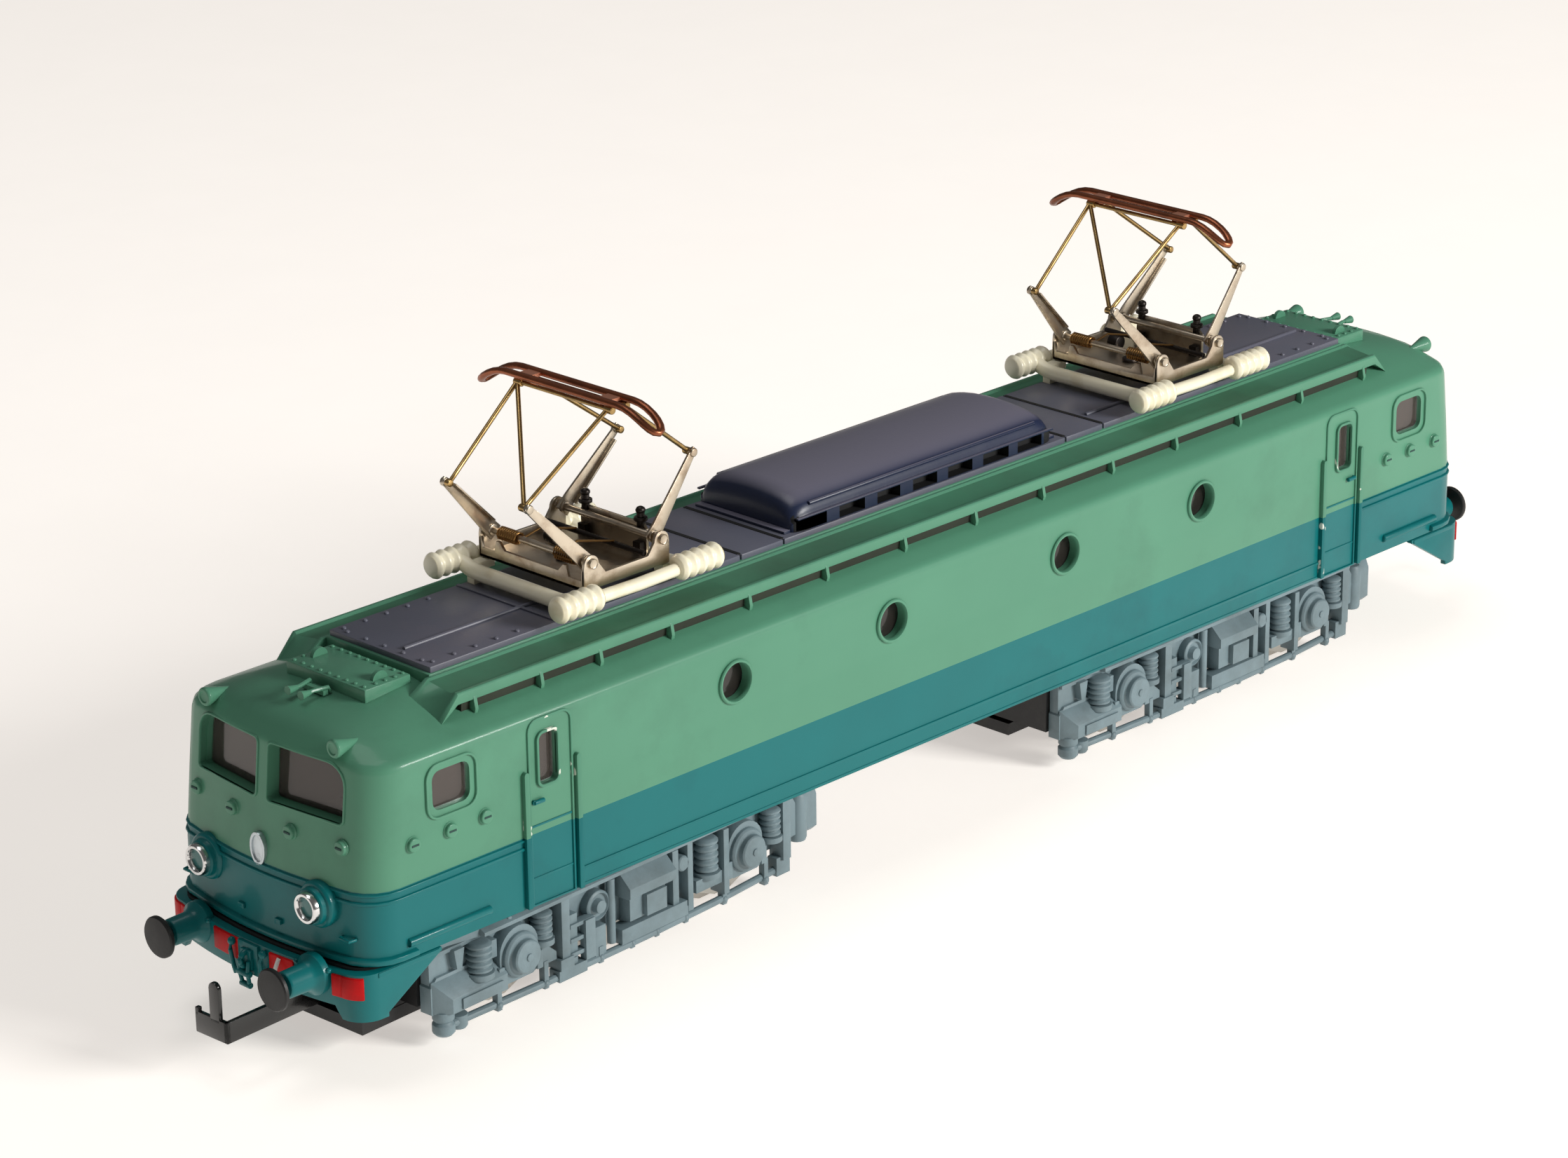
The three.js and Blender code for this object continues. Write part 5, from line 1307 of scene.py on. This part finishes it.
def collector(number, cx):
    head, z = Solid(), 66.95
    loop = [(-1.25, y) for y in (-9.4, -4.7, 0.0, 4.7, 9.4)]
    horn = [(1.25 * (1 - t ** 5) ** 0.5, 9.4 + 5.35 * t, -2.4 * t ** 1.9)
            for t in (0.2, 0.4, 0.6, 0.75, 0.88, 0.96, 1.0)]
    path = [(cx + x, y, z) for x, y in loop]
    path += [(cx - x, y, z + d) for x, y, d in horn] + [(cx + x, y, z + d) for x, y, d in reversed(horn[:-1])]
    path += [(cx + 1.25, y, z) for y in (9.4, 4.7, 0.0, -4.7, -9.4)]
    path += [(cx + x, -y, z + d) for x, y, d in horn] + [(cx - x, -y, z + d) for x, y,
                                                         d in reversed(horn[:-1])]
    head.add(tube(path, 0.5, 12, closed=True, flat=0.85))
    for side in SIDES:
        head.add(block(cx - 1.6, cx + 1.6, side * 5.7, side * 7.7, z - 0.30, z + 0.16), 1)
        head.add(block(cx - 1.0, cx + 1.0, side * 6.2, side * 7.2, z - 0.9, z - 0.2))
    ride(make(f"collector_bow_{number}", head, [COPPER, PALE_COPPER], smooth=50, merge=0.001),
         f"collector_head_{number}",
         [f"collector_head_{number}"])
    clips = Solid()
    for side in SIDES:
        clips.add(rod("x", 0.34, cx - 1.2, cx + 1.2, (0, side * 6.7, z - 0.85), 10, 0.08))
    ride(make(f"collector_clips_{number}", clips, [GOLD_WIRE], smooth=50), f"collector_head_{number}")


for number in (1, 2):
    low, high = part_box(f"pantograph_base_{number}")
    middle = (low.x + high.x) / 2 / MM
    insulators(number, middle)
    pantograph_tray(number, middle)
    lower_arm(number, middle, -1, (7.9, 7.1), "lower_arm_front")
    lower_arm(number, middle, 1, (7.5, 6.5), "lower_arm_rear")
    upper_arm(number, middle, -1, 7.1, True, "upper_arm_front")
    upper_arm(number, middle, 1, 6.5, False, "upper_arm_rear")
    collector(number, middle)


# ---------------------------------------------------------------- bogies

def joint(name):
    return next(j for j in frame["joints"] if j["name"] == name)


def bogie_matrix(number):
    """From a bogie's own coordinates, with its pivot at x = 0, to the row frame, in millimetres."""
    pivot = Vector(joint(f"bogie_{number}_swivel")["pos_m"]) / MM
    first = Vector(joint(f"wheelset_{number}_1_spin")["pos_m"])
    third = Vector(joint(f"wheelset_{number}_3_spin")["pos_m"])
    ahead = (third - first).normalized()
    return Matrix.Translation((pivot.x, pivot.y, 0)) @ Matrix.Rotation(math.atan2(ahead.y, ahead.x), 4, "Z")


def spring_profile(radius, low, high, turns):
    profile = [(0, low), (radius * 0.7, low)]
    step = (high - low) / turns
    for k in range(turns):
        z = low + step * k
        profile += [(radius * 0.78, z + 0.02 * step), (radius, z + 0.3 * step), (radius, z + 0.62 * step),
                    (radius * 0.78, z + 0.94 * step)]
    return profile + [(radius * 0.7, high), (0, high)]


def sideframe(number, letter):
    """One bogie side; x is counted along the outside view with the angular end block on the left."""
    side = 1 if letter == "b" else -1
    s = -side
    place = bogie_matrix(number)
    body = Solid()
    inner = 10.8

    def box(x0, x1, d0, d1, z0, z1):
        body.add(block(s * x0, s * x1, side * d0, side * d1, z0, z1), 0, place)

    def prism(points, x0, x1):
        """Points are (depth, z); the shape runs along x."""
        body.add(extrude("x", [(side * d, z) for d, z in points], s * x0, s * x1), 0, place)

    def slab(points, z0, z1):
        body.add(extrude("z", [(s * x, side * d) for x, d in points], z0, z1), 0, place)

    def plate(points, d0, d1):
        """Points are (x, z); the shape stands out from depth d0 to d1."""
        body.add(extrude("y", [(s * x, z) for x, z in points], side * d0, side * d1), 0, place)

    def disc(profile, x, z, sides=24):
        body.add(lathe("y", [(r, side * d) for r, d in profile], (s * x, 0, z), sides), 0, place)

    def upright(profile, x, d, sides=18):
        body.add(lathe("z", profile, (s * x, side * d, 0), sides), 0, place)

    # back plate with its openings, and the sloping top flange
    for x0, x1 in ((-31.8, -13.9), (-10.9, 9.3), (10.9, 27.0)):
        box(x0, x1, inner, 12.2, 5.2, 12.4)
    box(-13.9, 10.9, inner, 12.2, 10.9, 12.4)
    prism([(inner, 13.7), (12.3, 13.7), (14.4, 12.6), (14.4, 12.15), (12.0, 11.8), (inner, 11.8)], -25.0,
          27.0)
    slab([(-31.8, inner), (-31.8, 12.1), (-25.0, 13.6), (-25.0, inner)], 12.0, 13.4)
    box(-31.6, 26.6, 12.0, 12.7, 11.2, 11.7)

    # angular end block with its chamfered nose and the rounded step under it
    nose = [(-32.0, 4.3), (-32.0, 7.6), (-31.0, 8.6), (-22.0, 8.6), (-21.4, 7.8), (-21.4, 4.9), (-22.2, 4.3)]
    plate(nose, inner, 12.6)
    wedge = [[(s * -31.9, side * 12.5, 4.4), (s * -31.9, side * 12.5, 8.3), (s * -21.5, side * 12.5, 8.3),
              (s * -21.5, side * 12.5, 4.4)],
             [(s * -30.4, side * 14.5, 4.5), (s * -30.4, side * 14.5, 6.3), (s * -21.7, side * 14.5, 6.5),
              (s * -21.7, side * 14.5, 4.5)]]
    body.add(loft(wedge), 0, place)
    box(-29.0, -22.6, 14.2, 14.75, 4.7, 6.0)
    upright([(0, 1.5), (1.0, 1.5), (1.35, 1.9), (1.35, 2.9), (1.05, 3.2), (1.3, 3.5), (1.3, 4.5), (0, 4.5)],
            -30.3, 12.7)
    upright([(0, 1.7), (0.9, 1.7), (1.1, 2.0), (1.1, 3.4), (0, 3.4)], -28.2, 12.9)
    box(-30.6, -27.0, 12.0, 13.4, 2.2, 3.2)

    # the two axle boxes: arched housing, cap, and coil springs beside them
    for x in (-19.2, 19.2):
        arch = [(x - 3.1, 5.2), (x - 3.1, 8.2)]
        arch += [(x - 3.1 * math.cos(math.pi * k / 12), 8.4 + 3.0 * math.sin(math.pi * k / 12))
                 for k in range(1, 12)]
        arch += [(x + 3.1, 8.2), (x + 3.1, 5.2), (x + 2.1, 4.7), (x - 2.1, 4.7)]
        plate(arch, 12.0, 13.9)
        disc([(0, 12.0), (2.75, 12.0), (2.75, 14.3), (2.5, 14.6), (2.2, 14.6), (2.05, 14.75), (2.05, 15.35),
              (1.85, 15.55),
              (0, 15.6)], x, 7.9)
        disc([(0, 15.4), (0.5, 15.4), (0.45, 15.75), (0, 15.78)], x, 7.9, 12)
        box(x - 3.5, x - 2.6, 12.0, 14.2, 5.0, 7.2)
        box(x + 2.6, x + 3.5, 12.0, 14.2, 5.0, 7.2)
    for x, low, high, radius in ((-24.9, 7.6, 11.3, 1.55), (-14.9, 8.2, 11.6, 1.35), (13.0, 7.0, 11.4, 1.5),
                                 (24.4, 7.8, 11.4, 1.35)):
        upright(spring_profile(radius, low, high, 5), x, 13.2, 20)
        upright([(0, low - 0.7), (radius * 1.15, low - 0.7), (radius * 1.15, low), (0, low)], x, 13.2, 20)
    box(-23.6, -22.4, 12.0, 13.6, 8.6, 10.8)
    plate([(-28.4, 9.0), (-27.6, 9.0), (-27.2, 11.4), (-28.8, 11.4)], 12.0, 13.3)

    # centre: posts, side lever, disc, hood and lower box
    box(-12.5, -11.2, 12.0, 14.2, 4.0, 12.4)
    box(-13.0, -10.8, 12.0, 14.4, 3.4, 4.8)
    plate([(-16.0, 5.0), (-13.2, 5.0), (-13.2, 6.0), (-14.6, 7.2), (-16.0, 7.2)], 12.0, 13.9)
    box(-10.9, -9.6, 12.0, 13.8, 3.2, 9.6)
    for z in (4.6, 6.4, 8.2):
        box(-11.0, -7.0, 13.0, 14.1, z - 0.25, z + 0.25)
    box(-8.8, -7.2, 13.4, 14.4, 3.4, 8.4)
    disc([(0, 12.0), (1.9, 12.0), (1.9, 13.3), (1.6, 13.5), (1.45, 13.1), (0.9, 13.1), (0.8, 13.9),
          (0, 14.0)], -5.6, 8.9)
    upright([(0, 3.4), (0.55, 3.4), (0.55, 11.6), (0, 11.6)], -3.4, 13.2, 12)
    hood = [(11.9, 12.5), (12.6, 12.5), (15.1, 10.1), (15.1, 8.9), (14.6, 8.7), (11.9, 8.7)]
    prism(hood, -2.0, 5.9)
    prism([(12.0, 9.3), (14.0, 9.3), (14.0, 5.4), (12.0, 5.0)], -1.0, 5.0)
    box(1.2, 4.6, 13.8, 14.7, 5.6, 8.3)
    box(-2.6, 8.6, 12.0, 14.2, 3.0, 4.9)
    box(-6.8, -5.0, 12.0, 13.9, 2.4, 6.6)
    box(6.4, 7.4, 12.0, 14.0, 4.6, 11.8)
    disc([(0, 12.0), (1.0, 12.0), (1.0, 13.8), (0.8, 14.0), (0, 14.0)], 8.4, 9.6, 16)

    # right-hand half: post, bar, axle guard and end beam
    box(9.0, 9.9, 12.0, 14.0, 3.2, 12.0)
    box(15.0, 15.9, 12.0, 14.3, 3.4, 11.8)
    box(10.4, 16.4, 12.0, 14.0, 5.0, 6.6)
    box(25.6, 27.0, 12.0, 14.3, 4.2, 12.3)
    prism([(inner, 11.4), (12.4, 11.4), (12.9, 10.2), (12.9, 6.0), (12.0, 5.2), (inner, 5.2)], 27.0, 33.3)
    upright([(0, 4.9), (1.1, 4.9), (1.25, 5.3), (1.25, 10.8), (1.0, 11.2), (0, 11.2)], 30.4, 12.2, 16)
    for x, z in ((-20.6, 12.9), (-8.0, 12.9), (4.0, 12.9), (16.0, 12.9), (25.8, 12.9)):
        body.add(ball(0.42, (s * x, side * 13.75, z - 0.1), 0.8, 8), 0, place)

    # brake rail along the bottom, with hangers and blocks
    body.add(tube([(s * -29.5, side * 13.3, 2.7), (s * -14, side * 13.6, 2.5), (s * 2, side * 13.7, 2.5),
                   (s * 14, side * 13.6, 2.6), (s * 26.4, side * 13.2, 2.9)], 0.5, 10), 0, place)
    for x, top in ((-22.6, 5.0), (-15.0, 5.4), (-10.2, 4.2), (-5.9, 4.0), (-0.6, 3.4), (3.6, 3.4),
                   (8.6, 4.0), (15.4, 5.2),
                   (22.8, 5.4)):
        box(x - 0.35, x + 0.35, 13.1, 14.0, 1.9, top)
        body.add(ball(0.55, (s * x, side * 13.75, 2.5), 1.0, 10), 0, place)
    box(-13.2, -8.6, 12.6, 14.3, 2.0, 3.4)
    box(24.8, 27.2, 12.4, 13.9, 2.2, 4.6)
    obj = make(f"sideframe_casting_{number}_{letter}", body, [BOGIE], smooth=38, bevel=0.09, merge=0.0)
    ride(obj, f"bogie_{number}", [f"sideframe_{number}_{letter}"])
    # Near-black blocks fill the frame openings: painted shade where they look into the bogie.
    opening_shade = Solid()
    for x0, x1, z0, z1 in ((-13.8, -12.6, 5.8, 11.0), (9.95, 10.6, 5.6, 11.2), (-10.6, -9.0, 9.7, 11.6)):
        opening_shade.add(block(s * x0, s * x1, side * 10.9, side * 12.1, z0, z1), 0, place)
    ride(make(f"sideframe_openings_{number}_{letter}", opening_shade, [SHADE_AND_JOINT_BLACK]), f"bogie_{number}")


def coupler(number):
    """The bent sheet-steel coupler: eye on its pin, bar, cross plate and upright hook."""
    place = bogie_matrix(number)
    tip = -{1: 53.1, 2: 58.36}[number]
    body = Solid()
    eye = -32.5
    outer = oval_points(eye, 0, 2.0, 2.0)
    hole = oval_points(eye, 0, 1.0, 1.0)
    body.add(ring_frame(outer, hole, lambda x, y, z: (x, y, z), 5.3, 7.9), 0, place)
    body.add(block(tip, eye - 1.2, -2.1, -1.5, 5.3, 7.9), 0, place)
    body.add(block(tip, tip + 0.6, -2.1, 3.2, 5.3, 7.9), 0, place)
    crown = [(-0.1 - 0.8 * math.cos(math.pi * k / 8), 11.5 + 0.8 * math.sin(math.pi * k / 8))
             for k in range(1, 8)]
    prong = [(-0.9, 7.4), (-0.9, 11.5)] + crown + [(0.7, 11.5), (0.7, 7.4)]
    body.add(extrude("x", prong, tip, tip + 0.6), 0, place)
    body.add(block(tip, tip + 0.6, 2.6, 3.2, 7.4, 8.4), 0, place)
    ride(make(f"coupler_hook_{number}", body, [COUPLER_BLACK], smooth=40, bevel=0.12, merge=0.0),
         f"coupler_{number}", [f"coupler_{number}"])


for number in (1, 2):
    coupler(number)
    for letter in ("a", "b"):
        sideframe(number, letter)


# ---------------------------------------------------------------- finishes of the CAD pieces that stay

def finish_nodes():
    looks = {
        "side_glazing": GLASS, "windscreen": GLASS, "apron": TEAL, "chassis_plate": ZINC,
        "ballast_weight": ZINC, "ballast_screw": STEEL, "bogie_block": BLACK, "wheel_keeper": BLACK,
        "wheelset": STEEL, "coupler": COUPLER_BLACK,
        "pivot_screw": STEEL, "turntable_retainer": STEEL, "motor_magnet": ZINC, "motor_brush_plate": BLACK,
        "motor_rotor": WINDING, "idler_gear": BRASS,
    }
    for name, node in frame["nodes"].items():
        for start, mat in looks.items():
            if name.startswith(start):
                for index in range(len(node.data.materials)):
                    node.data.materials[index] = mat
                if not node.data.materials:
                    node.data.materials.append(mat)


finish_nodes()


def report_size():
    import json


report_size()
